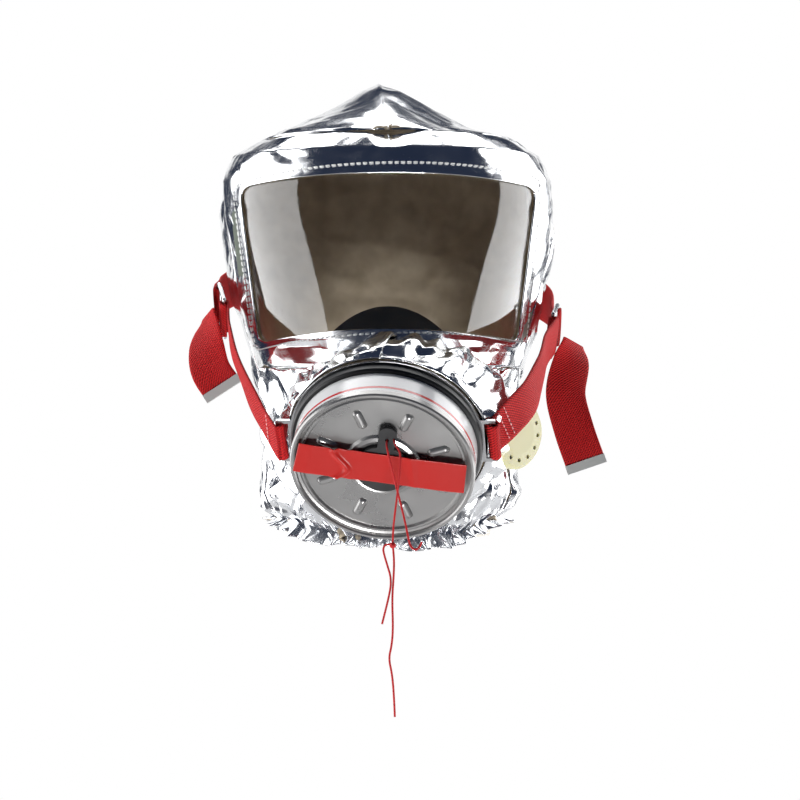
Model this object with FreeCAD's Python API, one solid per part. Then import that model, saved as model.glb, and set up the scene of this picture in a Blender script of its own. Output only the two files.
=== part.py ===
"""Filtering escape smoke hood, one STEP file for each piece.

Millimetres, +Z up, the wearer looks along -Y, the origin is the centre of the neck opening.
Left and right are as seen from in front of the hood, so left is -X.
"""
import FreeCAD, Part
import math
import os

Vector = FreeCAD.Vector
Rotation = FreeCAD.Rotation
Placement = FreeCAD.Placement
UP = Vector(0, 0, 1)

# ---- driving dimensions ----
FOIL = 1.0                 # aluminised cloth with its lining, drawn thicker than the real laminate
SEAM_GAP = 0.2             # clearance between neighbouring cloth panels
CROWN_SEAM_Z = 206.0       # front fold of the crown
CHIN_SEAM_Z = 88.0         # lower edge of the front panel beside the chin gusset
SIDE_SEAM = 21.0           # degrees in front of the widest line, front panel to side panels
BACK_SEAM = 34.0           # degrees behind it, side panels to back panel
CROWN_RISE = 33.0          # ridge above the crown seam
CROWN_SEAM_X = -5.0        # centre seam of the crown
HOOD_CENTRE_Y = -8.0       # depth at which the hood is widest

WINDOW_TOP_HALF = 75.0     # visor opening
WINDOW_BOTTOM_HALF = 66.0
WINDOW_TOP_Z = 183.5
WINDOW_TOP_CORNER_Z = 179.0
WINDOW_BOTTOM_Z = 106.5
WINDOW_BOTTOM_CORNER_Z = 100.5
WINDOW_CORNER = 7.0
VISOR_LAP = 8.0            # how far the visor reaches behind the cloth at the sides and top
VISOR_LAP_BELOW = 2.5
VISOR = 0.8

CAN_FACE = Vector(-2.8, -148.0, 39.3)   # centre of the canister's front rim
CAN_TILT = 37.3            # degrees that the canister looks down
CAN_YAW = 7.9              # degrees that it looks to the left
CAN_RADIUS = 43.6
RIM_RADIUS = 44.3
CAN_DEPTH = 34.0
SHEET = 0.5                # pressed steel of the canister
NECK_RADIUS = 19.5
NECK_DEPTH = 45.5
INLET_RADIUS = 12.0
MASK_PORT_DEPTH = 47.5     # where the mask's cup begins behind the front rim
COLLAR_RADIUS = 17.2
RIB_COUNT = 8
RIB_CIRCLE = 28.7
RIB_TURN = 17.5            # degrees from the canister's side line to the first rib
HOLDER_RADIUS = 46.2
HOLDER_FRONT = 17.0
HOLDER_LIP = 21.2          # where the holder's front ring ends
PLATE_FRONT = 21.4         # harness plate behind that ring
PLATE = 1.1
FOIL_PLANE = 23.2          # depth of the clamped cloth behind the front rim
CLAMP_CIRCLE = 48.4        # radius at which the cloth turns back from the clamp
EAR_BAR = 51.85            # radius of the harness plate's ear bars

VALVE_CENTRE = Vector(61.7, -106.7, 55.2)   # exhalation valve seat
VALVE_TILT = 5.7
VALVE_YAW = -45.0
VALVE_RADIUS = 17.0
VALVE_TUBE = 10.6          # outer radius of the tube into the mask

WEB_WIDTH = 20.0
WEB = 1.4
WIRE = 1.1                 # radius of the buckle wire
BUCKLE_HALF = 7.0          # centre bar to outer bar
THREAD = 1.0               # diameter of the pull thread
EYE_X = 3.9                # thread eye in the front plug's lug, from the canister's axis
EYE_Y = 17.6

# height, half width, front y, back y, squareness
HOOD_SECTIONS = [
    (0.0, 56.0, -54.0, 60.0, 2.0),
    (8.0, 66.0, -68.0, 72.0, 2.0),
    (20.0, 69.0, -80.0, 80.0, 2.0),
    (36.0, 66.0, -88.0, 86.0, 2.0),
    (60.0, 66.0, -98.0, 92.0, 2.0),
    (90.0, 72.0, -111.0, 97.0, 2.0),
    (106.0, 76.0, -117.0, 99.0, 2.0),
    (145.0, 84.0, -116.0, 102.0, 2.1),
    (168.0, 88.0, -112.0, 101.0, 2.2),
    (184.0, 87.0, -107.0, 98.0, 2.3),
    (197.0, 80.0, -100.0, 95.0, 2.5),
    (206.0, 67.0, -90.0, 91.0, 2.6),
]


# ---- shared helpers ----
def power(value, exponent):
    return math.copysign(abs(value) ** exponent, value)


def closed_curve(points):
    curve = Part.BSplineCurve()
    curve.interpolate(points, PeriodicFlag=True)
    return Part.Wire(curve.toShape())


def oval(centre, right, up, half_right, half_up, squareness=2.0, count=32):
    """Superellipse in the plane of right and up."""
    points = []
    for step in range(count):
        angle = 2 * math.pi * step / count
        across = half_right * power(math.cos(angle), 2 / squareness)
        along = half_up * power(math.sin(angle), 2 / squareness)
        points.append(centre + right * across + up * along)
    return closed_curve(points)


def section_at(height):
    """Hood section sizes at any height, between the listed sections."""
    for low, high in zip(HOOD_SECTIONS, HOOD_SECTIONS[1:]):
        if low[0] <= height <= high[0]:
            share = (height - low[0]) / (high[0] - low[0])
            return [a + (b - a) * share for a, b in zip(low[1:], high[1:])]
    return HOOD_SECTIONS[-1][1:]


def section_point(angle, height, section, inset):
    """Point of a horizontal section, at a polar angle about the hood's axis."""
    half_width, front, back, squareness = section
    depth = (back - HOOD_CENTRE_Y) if math.sin(angle) > 0 else (HOOD_CENTRE_Y - front)
    across = abs(math.cos(angle)) / (half_width - inset)
    along = abs(math.sin(angle)) / (depth - inset)
    radius = (across ** squareness + along ** squareness) ** (-1 / squareness)
    return Vector(radius * math.cos(angle), HOOD_CENTRE_Y + radius * math.sin(angle), height)


def hood_point(angle, height, inset):
    return section_point(angle, height, section_at(height), inset)


def level_wire(height, half_width, front, back, squareness, inset, count=32):
    section = (half_width, front, back, squareness)
    points = [section_point(2 * math.pi * step / count, height, section, inset)
              for step in range(count)]
    return closed_curve(points)


def spread(low, high, steps):
    return [low + (high - low) * step / steps for step in range(steps + 1)]


def surface_face(rows):
    surface = Part.BSplineSurface()
    surface.interpolate(rows)
    return surface.toShape()


def thick_patch(point_at, across_values, up_values):
    """Closed solid between point_at(across, up, 0) and point_at(across, up, 1)."""
    skins = []
    for layer in (0, 1):
        rows = [[point_at(across, up, layer) for up in up_values] for across in across_values]
        skins.append(surface_face(rows))
    faces = list(skins)
    for outer_edge, inner_edge in zip(skins[0].Edges, skins[1].Edges):
        faces.append(Part.makeRuledSurface(outer_edge, inner_edge))
    shell = Part.makeShell(faces)
    shell.sewShape()
    solid = Part.Solid(shell if isinstance(shell, Part.Shell) else shell.Shells[0])
    if solid.Volume < 0:
        solid.reverse()
    return solid


def cloth_patch(angles, heights, inset, thickness):
    """Part of the hood's wall, between two angles and two heights in degrees and mm."""
    levels = [heights[0], *[s[0] for s in HOOD_SECTIONS if heights[0] + 3 < s[0] < heights[1] - 3],
              heights[1]]
    turns = [math.radians(a) for a in spread(angles[0], angles[1], 16)]

    def point_at(angle, height, layer):
        return hood_point(angle, height, inset + thickness * layer)
    return thick_patch(point_at, turns, levels)


def ring_shell(sections, thickness):
    """Open-ended cloth ring through a few level sections."""
    outer = Part.makeLoft([level_wire(*section, 0.0) for section in sections], True, False)
    reach = 0.3
    first = sections[0]
    last = sections[-1]
    step = reach if last[0] > first[0] else -reach
    longer = [(first[0] - step, *first[1:]), *sections[1:-1], (last[0] + step, *last[1:])]
    inner = Part.makeLoft([level_wire(*section, thickness) for section in longer], True, False)
    return outer.cut(inner)


def slab(x_range, y_range, z_range):
    size = [high - low for low, high in (x_range, y_range, z_range)]
    return Part.makeBox(*size, Vector(x_range[0], y_range[0], z_range[0]))


def turned(profile):
    """Solid of revolution about Z through (radius, z) points."""
    points = [Vector(radius, 0, z) for radius, z in profile]
    wire = Part.makePolygon(points + [points[0]])
    return Part.Face(wire).revolve(Vector(0, 0, 0), UP, 360)


def disc(radius, z_low, z_high):
    return Part.makeCylinder(radius, z_high - z_low, Vector(0, 0, z_low))


def tube(outer, inner, z_low, z_high):
    return disc(outer, z_low, z_high).cut(disc(inner, z_low - 1, z_high + 1))


def looking(centre, tilt, yaw):
    """Placement whose local +Z looks forward, turned down by tilt and left by yaw."""
    turn = Rotation(UP, -yaw).multiply(Rotation(Vector(1, 0, 0), 90 + tilt))
    return Placement(centre, turn)


CAN_PLACE = looking(CAN_FACE, CAN_TILT, CAN_YAW)
VALVE_PLACE = looking(VALVE_CENTRE, VALVE_TILT, VALVE_YAW)


def placed(shape, placement):
    copy = shape.copy()
    copy.transformShape(placement.toMatrix(), True)
    return copy


def on_can(shape):
    return placed(shape, CAN_PLACE)


def on_valve(shape):
    return placed(shape, VALVE_PLACE)


def can_point(x, y, z):
    return CAN_PLACE.multVec(Vector(x, y, z))


def can_direction(x, y, z):
    return CAN_PLACE.Rotation.multVec(Vector(x, y, z))


def valve_point(x, y, z):
    return VALVE_PLACE.multVec(Vector(x, y, z))


# ---- cloth hood ----
def chin_ray(angle, share, inset):
    """Point of the bulge's wall, from the clamp circle (share 0) to inside the hood (share 1)."""
    lean = Vector(0, -0.39, 0.92).normalize()
    across = math.cos(angle)
    along = math.sin(angle)
    radius = CLAMP_CIRCLE - inset
    rim = can_point(radius * across, radius * along, -FOIL_PLANE)
    root = Vector((48 - inset) * across, -40, 57) + lean * ((38 - inset) * along)
    bend = Vector(10 + (64 - 2 * inset) * across, -112.5 - 3 * across - 20 * along,
                  57 + (57 - 2 * inset) * along)
    return rim * (1 - share) ** 2 + bend * (2 * share * (1 - share)) + root * share ** 2


def chin_solid(inset):
    """Bulge that carries the canister holder."""
    wires = []
    for share in spread(0.0, 1.0, 6):
        points = [chin_ray(angle, share, inset) for angle in spread(0, 2 * math.pi, 32)[:-1]]
        wires.append(closed_curve(points))
    return Part.makeLoft(wires, True, False)


def inside_hood(point, margin):
    if point.z > CROWN_SEAM_Z or point.z < 0:
        return False
    angle = math.atan2(point.y - HOOD_CENTRE_Y, point.x)
    wall = hood_point(angle, point.z, -margin)
    own = math.hypot(point.x, point.y - HOOD_CENTRE_Y)
    return own < math.hypot(wall.x, wall.y - HOOD_CENTRE_Y)


def chin_reach(angle, margin):
    """Share of the ray at which the bulge meets the hood's wall."""
    low, high = 0.0, 1.0
    for _ in range(30):
        middle = (low + high) / 2
        if inside_hood(chin_ray(angle, middle, 0.0), margin):
            high = middle
        else:
            low = middle
    return low


def gusset_half(side):
    """Half of the chin gusset, seamed at the top and bottom."""
    edge = 0.15
    turns = [math.radians(a) for a in spread(-90 + edge, 90 - edge, 16)]
    if side < 0:
        turns = [math.pi - a for a in turns]

    def point_at(angle, share, layer):
        return chin_ray(angle, share * chin_reach(angle, SEAM_GAP), FOIL * layer)
    return thick_patch(point_at, turns, spread(0.0, 1.0, 4))


def crown_half(side):
    """One crown panel, from the hood's top edge up to the centre ridge."""
    edge = 4.0
    turns = [math.radians(a) for a in spread(-90 + edge, 90 - edge, 14)]

    def point_at(turn, share, layer):
        angle = turn if side > 0 else math.pi - turn
        foot = hood_point(angle, CROWN_SEAM_Z, FOIL * layer)
        foot.z += SEAM_GAP
        back = section_at(CROWN_SEAM_Z)[2]
        front = section_at(CROWN_SEAM_Z)[1]
        run = (foot.y - front) / (back - front)
        arch = math.sin(math.pi * min(max(run, 0.0), 1.0)) ** 0.8
        ridge = Vector(CROWN_SEAM_X * arch + side * SEAM_GAP / 2, foot.y, 0)
        ridge.z = CROWN_SEAM_Z + SEAM_GAP + CROWN_RISE * arch
        lifted = foot + (ridge - foot) * share
        lifted.z -= FOIL * layer * share
        return lifted
    return thick_patch(point_at, turns, spread(0.0, 1.0, 4))


def window_prism(grow, grow_below):
    """Rounded window outline, extruded through the front of the hood."""
    top = WINDOW_TOP_HALF + grow
    bottom = WINDOW_BOTTOM_HALF + grow
    high = WINDOW_TOP_CORNER_Z + grow
    low = WINDOW_BOTTOM_CORNER_Z - grow_below
    corners = [Vector(-bottom, 0, low), Vector(bottom, 0, low),
               Vector(top, 0, high), Vector(-top, 0, high)]
    radius = WINDOW_CORNER + grow * 0.5
    top_rise = WINDOW_TOP_Z - WINDOW_TOP_CORNER_Z
    bottom_rise = WINDOW_BOTTOM_Z - WINDOW_BOTTOM_CORNER_Z
    edges = []
    starts = []
    ends = []
    for index, corner in enumerate(corners):
        before = (corners[index - 1] - corner).normalize()
        after = (corners[(index + 1) % 4] - corner).normalize()
        starts.append(corner + before * radius)
        ends.append(corner + after * radius)
        middle = corner + (before + after) * radius * 0.293
        edges.append(Part.Arc(starts[-1], middle, ends[-1]).toShape())
    rises = [bottom_rise, 0, top_rise, 0]
    for index, rise in enumerate(rises):
        first = ends[index]
        last = starts[(index + 1) % 4]
        if rise:
            middle = (first + last) * 0.5 + Vector(0, 0, rise)
            edges.append(Part.Arc(first, middle, last).toShape())
        else:
            edges.append(Part.LineSegment(first, last).toShape())
    ordered = [edge for pair in zip(edges[:4], edges[4:]) for edge in pair]
    face = Part.Face(Part.Wire(ordered))
    face.translate(Vector(0, -160, 0))
    return face.extrude(Vector(0, 135, 0))


def hood_panels():
    half = SEAM_GAP / 2
    slit = 0.07
    upper = (CHIN_SEAM_Z + half, CROWN_SEAM_Z - half)
    lower = (0.0, CHIN_SEAM_Z - half)
    whole = (0.0, CROWN_SEAM_Z - half)
    chin_room = chin_solid(-SEAM_GAP)
    valve_hole = on_valve(disc(VALVE_RADIUS + 0.6, -25, 12))
    front = (-180 + SIDE_SEAM + slit, -SIDE_SEAM - slit)
    panels = {}
    front_panel = cloth_patch(front, upper, 0.0, FOIL)
    panels["front_panel"] = front_panel.cut(chin_room).cut(window_prism(0, 0))
    low_panel = cloth_patch(front, lower, 0.0, FOIL)
    panels["lower_front_panel"] = low_panel.cut(chin_room).cut(valve_hole)
    panels["right_side_panel"] = cloth_patch((-SIDE_SEAM + slit, BACK_SEAM - slit), whole, 0.0, FOIL)
    left = (180 - BACK_SEAM + slit, 180 + SIDE_SEAM - slit)
    panels["left_side_panel"] = cloth_patch(left, whole, 0.0, FOIL)
    panels["back_panel"] = cloth_patch((BACK_SEAM + slit, 180 - BACK_SEAM - slit), whole, 0.0, FOIL)
    panels["left_crown_panel"] = crown_half(-1)
    panels["right_crown_panel"] = crown_half(1)
    panels["left_chin_gusset"] = gusset_half(-1)
    rim = tube(CLAMP_CIRCLE - FOIL - 0.5, 45.8, -FOIL_PLANE - FOIL, -FOIL_PLANE)
    panels["gusset_rim"] = on_can(rim)
    panels["right_chin_gusset"] = gusset_half(1).cut(valve_hole)
    return panels


def neck_parts():
    frill = [(-0.4, 56.0, -54.0, 60.0, 2.0), (-6.5, 65.0, -64.0, 69.0, 2.0)]
    elastic = [(1.0, 54.0, -52.0, 58.0, 2.0), (5.0, 54.0, -52.0, 58.0, 2.0)]
    collar = [(14.0, 52.0, -50.0, 56.0, 2.0), (0.0, 51.5, -49.5, 55.5, 2.0),
              (-8.0, 60.0, -58.0, 64.0, 2.0)]
    return {
        "neck_frill": ring_shell(frill, FOIL),
        "neck_elastic": ring_shell(elastic, 1.4),
        "neck_collar": ring_shell(collar, 0.9),
    }


def visor_parts():
    angles = (-172, -8)
    heights = (WINDOW_BOTTOM_CORNER_Z - VISOR_LAP_BELOW - 5, WINDOW_TOP_CORNER_Z + VISOR_LAP + 6)
    lens = cloth_patch(angles, heights, FOIL + 0.5, VISOR)
    lens = lens.common(window_prism(VISOR_LAP, VISOR_LAP_BELOW))
    tape = cloth_patch(angles, heights, FOIL + 0.15, 0.2)
    tape = tape.common(window_prism(VISOR_LAP - 1, VISOR_LAP_BELOW - 0.5)).cut(window_prism(1, 1))
    return {"visor": lens, "visor_tape": tape}


# ---- inner half mask ----
def mask_rim(inset):
    centre = Vector(0, -66 + inset * 0.1, 76)
    up = Vector(0, -0.2, 0.98)
    points = []
    count = 32
    for step in range(count):
        angle = 2 * math.pi * step / count
        across = (44 - inset) * math.cos(angle) * (1 - 0.15 * math.sin(angle))
        points.append(centre + Vector(1, 0, 0) * across + up * ((44 - inset) * math.sin(angle)))
    return closed_curve(points)


def mask_cup(inset, front_extra, back_extra):
    port = oval(can_point(0, 0, -MASK_PORT_DEPTH + front_extra), can_direction(1, 0, 0),
                can_direction(0, 1, 0), 26 - inset, 26 - inset)
    rim = mask_rim(inset)
    rim.translate(Vector(0, back_extra, 0))
    return Part.makeLoft([port, rim], True, False)


def mask_parts():
    cup = mask_cup(0, 0, 0)
    side_port = on_valve(disc(VALVE_TUBE + 1.9, -30, -3))
    side_bore = on_valve(disc(VALVE_TUBE + 0.15, -60, 0))
    neck = on_can(disc(25.4, -MASK_PORT_DEPTH - 2.0, -CAN_DEPTH - 6.0))
    body = cup.fuse(side_port).fuse(neck)
    body = body.cut(mask_cup(2.0, -0.05, 0.3)).cut(side_bore).cut(on_can(disc(23.6, -MASK_PORT_DEPTH - 6, -CAN_DEPTH)))
    band = on_can(tube(26.6, 25.5, 1.5 - MASK_PORT_DEPTH, 6 - MASK_PORT_DEPTH))
    return {"half_mask": body, "mask_port_band": band}


# ---- canister holder and harness plate ----
def holder_parts():
    floor = CAN_DEPTH + 2.7
    holder = turned([
        (43.8, -HOLDER_FRONT), (45.4, -HOLDER_FRONT), (HOLDER_RADIUS, -HOLDER_FRONT - 0.9),
        (HOLDER_RADIUS, -HOLDER_LIP), (45.1, -HOLDER_LIP), (45.1, 0.2 - CAN_DEPTH), (42.4, -floor - 1.6), (23.4, -floor - 1.6),
        (23.4, -MASK_PORT_DEPTH - 1), (20.2, -MASK_PORT_DEPTH - 1), (20.2, -floor), (41.3, -floor), (43.8, 0.2 - CAN_DEPTH)])
    back = -PLATE_FRONT - PLATE
    plate = tube(47.2, 45.6, back, -PLATE_FRONT)
    for side in (-1, 1):
        ear = Part.makeBox(8.3, 25.0, PLATE, Vector(EAR_BAR - 7.35, -12.5, back))
        slot = Part.makeBox(3.6, 21.0, 3, Vector(EAR_BAR - 4.55, -10.5, back - 1))
        ear = ear.cut(disc(47.0, -30, -15)).cut(slot)
        if side < 0:
            ear.rotate(Vector(0, 0, 0), UP, 180)
        plate = plate.fuse(ear)
    clamp = tube(46.6, 45.7, -FOIL_PLANE - 2.4, -FOIL_PLANE - FOIL - 0.3)
    gasket = tube(27.0, 20.2, 0.2 - floor, -CAN_DEPTH - 0.2)
    return {"canister_holder": on_can(holder), "harness_plate": on_can(plate.removeSplitter()),
            "gusset_clamp_ring": on_can(clamp), "canister_gasket": on_can(gasket)}


# ---- filter canister ----
def lid_rib():
    """Rounded ridge pressed up from the lid's floor."""
    radius = 2.6
    inner, outer = (Vector(RIB_CIRCLE + x, 0, -1.4 - radius) for x in (-3.2, 3.2))
    ridge = Part.makeCylinder(radius, outer.x - inner.x, inner, outer - inner)
    ridge = ridge.fuse(Part.makeSphere(radius, inner)).fuse(Part.makeSphere(radius, outer))
    return ridge.common(Part.makeBox(20, 10, 3.3, Vector(RIB_CIRCLE - 10, -5, -3.3)))


def front_lid():
    lid = turned([
        (RIM_RADIUS, -3.2), (RIM_RADIUS, -0.7), (43.6, 0.0), (42.6, 0.0), (42.0, -0.7),
        (41.8, -2.0), (40.6, -2.3), (39.8, -1.7), (38.9, -1.7), (38.2, -3.0), (18.4, -3.0),
        (17.4, -1.6), (15.6, -1.1), (14.2, -1.6), (13.6, -2.2), (INLET_RADIUS, -2.2),
        (INLET_RADIUS, -6.0), (12.5, -6.0), (12.5, -2.7), (13.8, -2.7), (15.8, -1.6),
        (17.0, -2.1), (18.0, -3.5), (38.4, -3.5), (39.1, -2.2), (39.7, -2.2), (40.5, -2.8),
        (42.3, -2.5), (42.6, -0.7), (43.4, -0.7), (43.7, -1.0), (43.7, -3.2)])
    for index in range(RIB_COUNT):
        rib = lid_rib()
        rib.rotate(Vector(0, 0, 0), UP, RIB_TURN + index * 360 / RIB_COUNT)
        lid = lid.fuse(rib)
    return lid


def can_shell():
    inner = CAN_RADIUS - SHEET
    return turned([
        (CAN_RADIUS, -3.4), (CAN_RADIUS, -CAN_DEPTH), (NECK_RADIUS, -CAN_DEPTH),
        (NECK_RADIUS, -NECK_DEPTH), (NECK_RADIUS - 1.2, -NECK_DEPTH),
        (NECK_RADIUS - 1.2, -CAN_DEPTH + SHEET), (inner, -CAN_DEPTH + SHEET), (inner, -3.8),
        (42.4, -3.8), (42.4, -3.4)])


def screen(z_low):
    """Perforated separator sheet."""
    sheet = disc(42.9, z_low, z_low + 0.5)
    holes = [disc(2.0, z_low - 1, z_low + 1)]
    for radius, count in ((10.0, 6), (20.0, 12), (30.0, 18), (38.0, 24)):
        for index in range(count):
            angle = 2 * math.pi * index / count
            hole = disc(2.0, z_low - 1, z_low + 1)
            hole.translate(Vector(radius * math.cos(angle), radius * math.sin(angle), 0))
            holes.append(hole)
    return sheet.cut(Part.makeCompound(holes))


def pleated_filter():
    """Folded particle paper, bonded inside a rim ring."""
    pitch = 5.0
    reach = 40.0
    low, high, paper = -14.4, -9.0, 0.9
    steps = int(2 * reach / pitch)
    upper = []
    for index in range(2 * steps + 1):
        level = high if index % 2 == 0 else low + paper
        upper.append(Vector(-reach + index * pitch / 2, -reach - 3, level))
    lower = [point - Vector(0, 0, paper) for point in reversed(upper)]
    wire = Part.makePolygon(upper + lower + [upper[0]])
    pleats = Part.Face(wire).extrude(Vector(0, 2 * reach + 6, 0)).common(disc(40.6, -17, -7))
    return pleats.fuse(tube(42.9, 40.4, low - 0.2, high + 0.2))


def canister_parts():
    screens = [screen(z_low) for z_low in (-8.0, -15.4, -19.8, -26.0, -33.0)]
    parts = {
        "canister_shell": can_shell(),
        "canister_front_lid": front_lid(),
        "canister_band": tube(44.0, CAN_RADIUS + 0.05, -HOLDER_FRONT + 0.3, -3.5),
        "screens": Part.makeCompound(screens),
        "particle_filter": pleated_filter(),
        "drying_bed": disc(42.9, -19.1, -15.6),
        "catalyst_bed": disc(42.9, -25.3, -20.0),
        "carbon_bed": disc(42.9, -32.3, -26.2),
    }
    return {name: on_can(shape) for name, shape in parts.items()}


def inhalation_parts():
    """Check valve in the canister's outlet neck; local heights count from its seat."""
    seat = tube(NECK_RADIUS - 1.3, 13.0, -1.4, 0.0)
    for index in range(3):
        spoke = Part.makeBox(13.5, 2.0, 1.4, Vector(0, -1.0, -1.4))
        spoke.rotate(Vector(0, 0, 0), UP, 120 * index + 30)
        seat = seat.fuse(spoke)
    seat = seat.fuse(disc(2.6, -1.4, 0.0)).fuse(disc(0.9, -5.6, -1.0))
    seat = seat.fuse(disc(2.0, -5.9, -5.2)).removeSplitter()
    flap = tube(15.4, 1.3, -2.2, -1.55)
    for shape in (seat, flap):
        shape.translate(Vector(0, 0, -CAN_DEPTH - 1.0))
    return {"inhalation_valve_seat": on_can(seat), "inhalation_flap": on_can(flap)}


def front_plug():
    """Rubber stopper with a round finger lug that carries the thread's eye."""
    lug_x, lug_y, lug_radius = 4.4, 20.4, 4.4
    head = disc(13.2, -2.0, 0.6)
    shank = turned([(0, -2.0), (11.7, -2.0), (11.7, -5.0), (11.0, -6.2), (8.5, -6.2),
                    (8.5, -3.6), (0, -3.6)])
    tongue = Part.makeBox(2 * lug_radius - 0.8, 13.0, 1.5, Vector(-lug_radius + 0.4, 0, -0.9))
    tongue.rotate(Vector(0, 0, 0), UP, -math.degrees(math.atan2(lug_x, lug_y)))
    tongue.translate(Vector(lug_x * 0.4, lug_y * 0.4, 0))
    lug = Part.makeCylinder(lug_radius, 1.5, Vector(lug_x, lug_y, -0.9))
    plug = head.fuse(shank).fuse(tongue).fuse(lug)
    eye = Part.makeCylinder(0.95, 6, Vector(EYE_X, EYE_Y, -3))
    return plug.cut(eye)


def rear_plug():
    """Rubber stopper of the outlet neck, with a finger tab; local heights count from the neck's end."""
    body = turned([(0, -0.2), (19.6, -0.2), (19.6, -1.8), (0, -1.8)])
    shank = tube(18.1, 15.5, -0.3, 3.0)
    tab = Part.makeBox(12, 2.4, 6.4, Vector(-6, -1.2, -8.0))
    plug = body.fuse(shank).fuse(tab)
    plug.translate(Vector(0, 0, -NECK_DEPTH))
    return plug


def seal_tape():
    """Plain red tape across the inlet, stuck to the rim at its ends."""
    corners = [Vector(-38.2, 16.2, 0.85), Vector(-43.0, -0.6, 0.85),
               Vector(38.1, -13.8, 0.85), Vector(40.7, 3.2, 0.85)]
    face = Part.Face(Part.makePolygon(corners + [corners[0]]))
    return face.extrude(Vector(0, 0, 0.25))


# ---- exhalation valve ----
def exhalation_parts():
    bore = VALVE_TUBE - 1.4
    body = turned([
        (VALVE_RADIUS + 0.3, -1.6), (VALVE_RADIUS + 0.3, 0.0), (14.0, 0.0), (14.0, 1.2), (12.6, 1.2),
        (12.6, 0.0), (bore, -1.0), (bore, -26.0), (VALVE_TUBE, -26.0), (VALVE_TUBE, -1.6)])
    for index in range(3):
        spoke = Part.makeBox(bore + 0.3, 1.6, 1.4, Vector(0, -0.8, -3.0))
        spoke.rotate(Vector(0, 0, 0), UP, 120 * index)
        body = body.fuse(spoke)
    body = body.fuse(disc(2.0, -3.0, -1.6)).fuse(disc(0.9, -1.7, 2.6)).fuse(disc(1.7, 2.2, 2.8))
    flap = tube(12.2, 1.2, 0.2, 0.8)
    cover = turned([
        (VALVE_RADIUS, 0.15), (VALVE_RADIUS, 2.6), (15.2, 4.6), (9.0, 5.0), (0, 5.0), (0, 4.0),
        (8.8, 4.0), (14.4, 3.6), (15.9, 2.2), (15.9, 0.15)])
    for index in range(12):
        angle = 2 * math.pi * index / 12
        vent = Part.makeCylinder(1.1, 8, Vector(12.2 * math.cos(angle), 12.2 * math.sin(angle), 0.2))
        cover = cover.cut(vent)
    band = tube(VALVE_TUBE + 2.9, VALVE_TUBE + 2.0, -13.0, -9.0)
    return {"exhalation_valve_body": on_valve(body.removeSplitter()),
            "exhalation_flap": on_valve(flap), "exhalation_cover": on_valve(cover),
            "exhalation_port_band": on_valve(band)}


# ---- head harness ----
def webbing(stations, width=WEB_WIDTH, thickness=WEB):
    """Flat strap through stations of (point, width direction)."""
    wires = []
    count = len(stations)
    for index, (point, across) in enumerate(stations):
        before = stations[max(index - 1, 0)][0]
        after = stations[min(index + 1, count - 1)][0]
        along = after - before
        side = Vector(across)
        if 0 < index < count - 1:
            side = side - along * (side.dot(along) / along.dot(along))
        side.normalize()
        face = along.cross(side)
        face.normalize()
        offsets = [(-1, -1), (1, -1), (1, 1), (-1, 1)]
        corners = [point + side * (sx * width / 2) + face * (sy * thickness / 2)
                   for sx, sy in offsets]
        wires.append(Part.makePolygon(corners + [corners[0]]))
    return Part.makeLoft(wires, True, True)


def sleeve(centre, direction, length):
    """Sewn loop of webbing round a bar."""
    axis = Vector(direction)
    axis.normalize()
    start = centre - axis * (length / 2)
    outer = Part.makeCylinder(WIRE + 0.2 + WEB, length, start, axis)
    return outer.cut(Part.makeCylinder(WIRE + 0.2, length + 2, start - axis, axis))


def rod(start, end, radius):
    return Part.makeCylinder(radius, (end - start).Length, start, end - start)


def wire_frame(points, radius):
    shape = None
    for index, point in enumerate(points):
        after = points[(index + 1) % len(points)]
        piece = rod(point, after, radius).fuse(Part.makeSphere(radius, point))
        shape = piece if shape is None else shape.fuse(piece)
    return shape


def buckle(centre, along, across):
    """Three-bar wire slide."""
    half = WEB_WIDTH / 2 + 1.8
    corners = [centre + along * (sy * BUCKLE_HALF) + across * (sx * half)
               for sx, sy in ((-1, -1), (1, -1), (1, 1), (-1, 1))]
    frame = wire_frame(corners, WIRE)
    return frame.fuse(rod(centre - across * half, centre + across * half, WIRE * 0.9))


LEFT_BUCKLE = Vector(-85.5, -40.0, 118.0)
RIGHT_BUCKLE = Vector(85.5, -40.0, 107.5)
LEFT_STRAP = [(Vector(-62.5, -108, 65), (-0.1, -0.52, 0.85)), (Vector(-69.0, -94, 76), (-0.1, -0.55, 0.83)),
              (Vector(-75.5, -75, 92), (-0.1, -0.55, 0.83)), (Vector(-80.5, -57, 105), (-0.05, -0.57, 0.81))]
RIGHT_STRAP = [(Vector(59.5, -130, 64), (-0.2, -0.45, 0.9)), (Vector(68.8, -119, 73.5), (-0.2, -0.5, 0.86)),
               (Vector(75, -98, 84.5), (-0.1, -0.56, 0.82)), (Vector(79.3, -68, 97), (0, -0.5, 0.86))]


def buckle_axes(buckle_centre, last_point):
    along = buckle_centre - last_point
    along.normalize()
    across = Vector(0, -0.55, 0.83)
    across = across - along * across.dot(along)
    across.normalize()
    return along, across


def front_strap(side, buckle_centre, stations):
    """From the harness plate's ear to the buckle's lower bar."""
    bar = can_point(side * EAR_BAR, 0, -PLATE_FRONT - PLATE / 2)
    bar_axis = can_direction(0, 1, 0)
    along, across = buckle_axes(buckle_centre, stations[-1][0])
    first = stations[0][0] - bar
    first.normalize()
    start = bar + first * (WIRE + WEB * 0.6)
    end = buckle_centre - along * (BUCKLE_HALF + WIRE + WEB * 0.6)
    route = [(start, bar_axis), *stations, (end, across)]
    strap = webbing(route).fuse(sleeve(bar, bar_axis, WEB_WIDTH))
    return strap.fuse(sleeve(buckle_centre - along * BUCKLE_HALF, across, WEB_WIDTH))


def hood_edge(angle, height, half_width, front, back, offset):
    depth = (back - HOOD_CENTRE_Y) if math.sin(angle) > 0 else (HOOD_CENTRE_Y - front)
    return Vector((half_width + offset) * math.cos(angle),
                  HOOD_CENTRE_Y + (depth + offset) * math.sin(angle), height)


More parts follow.
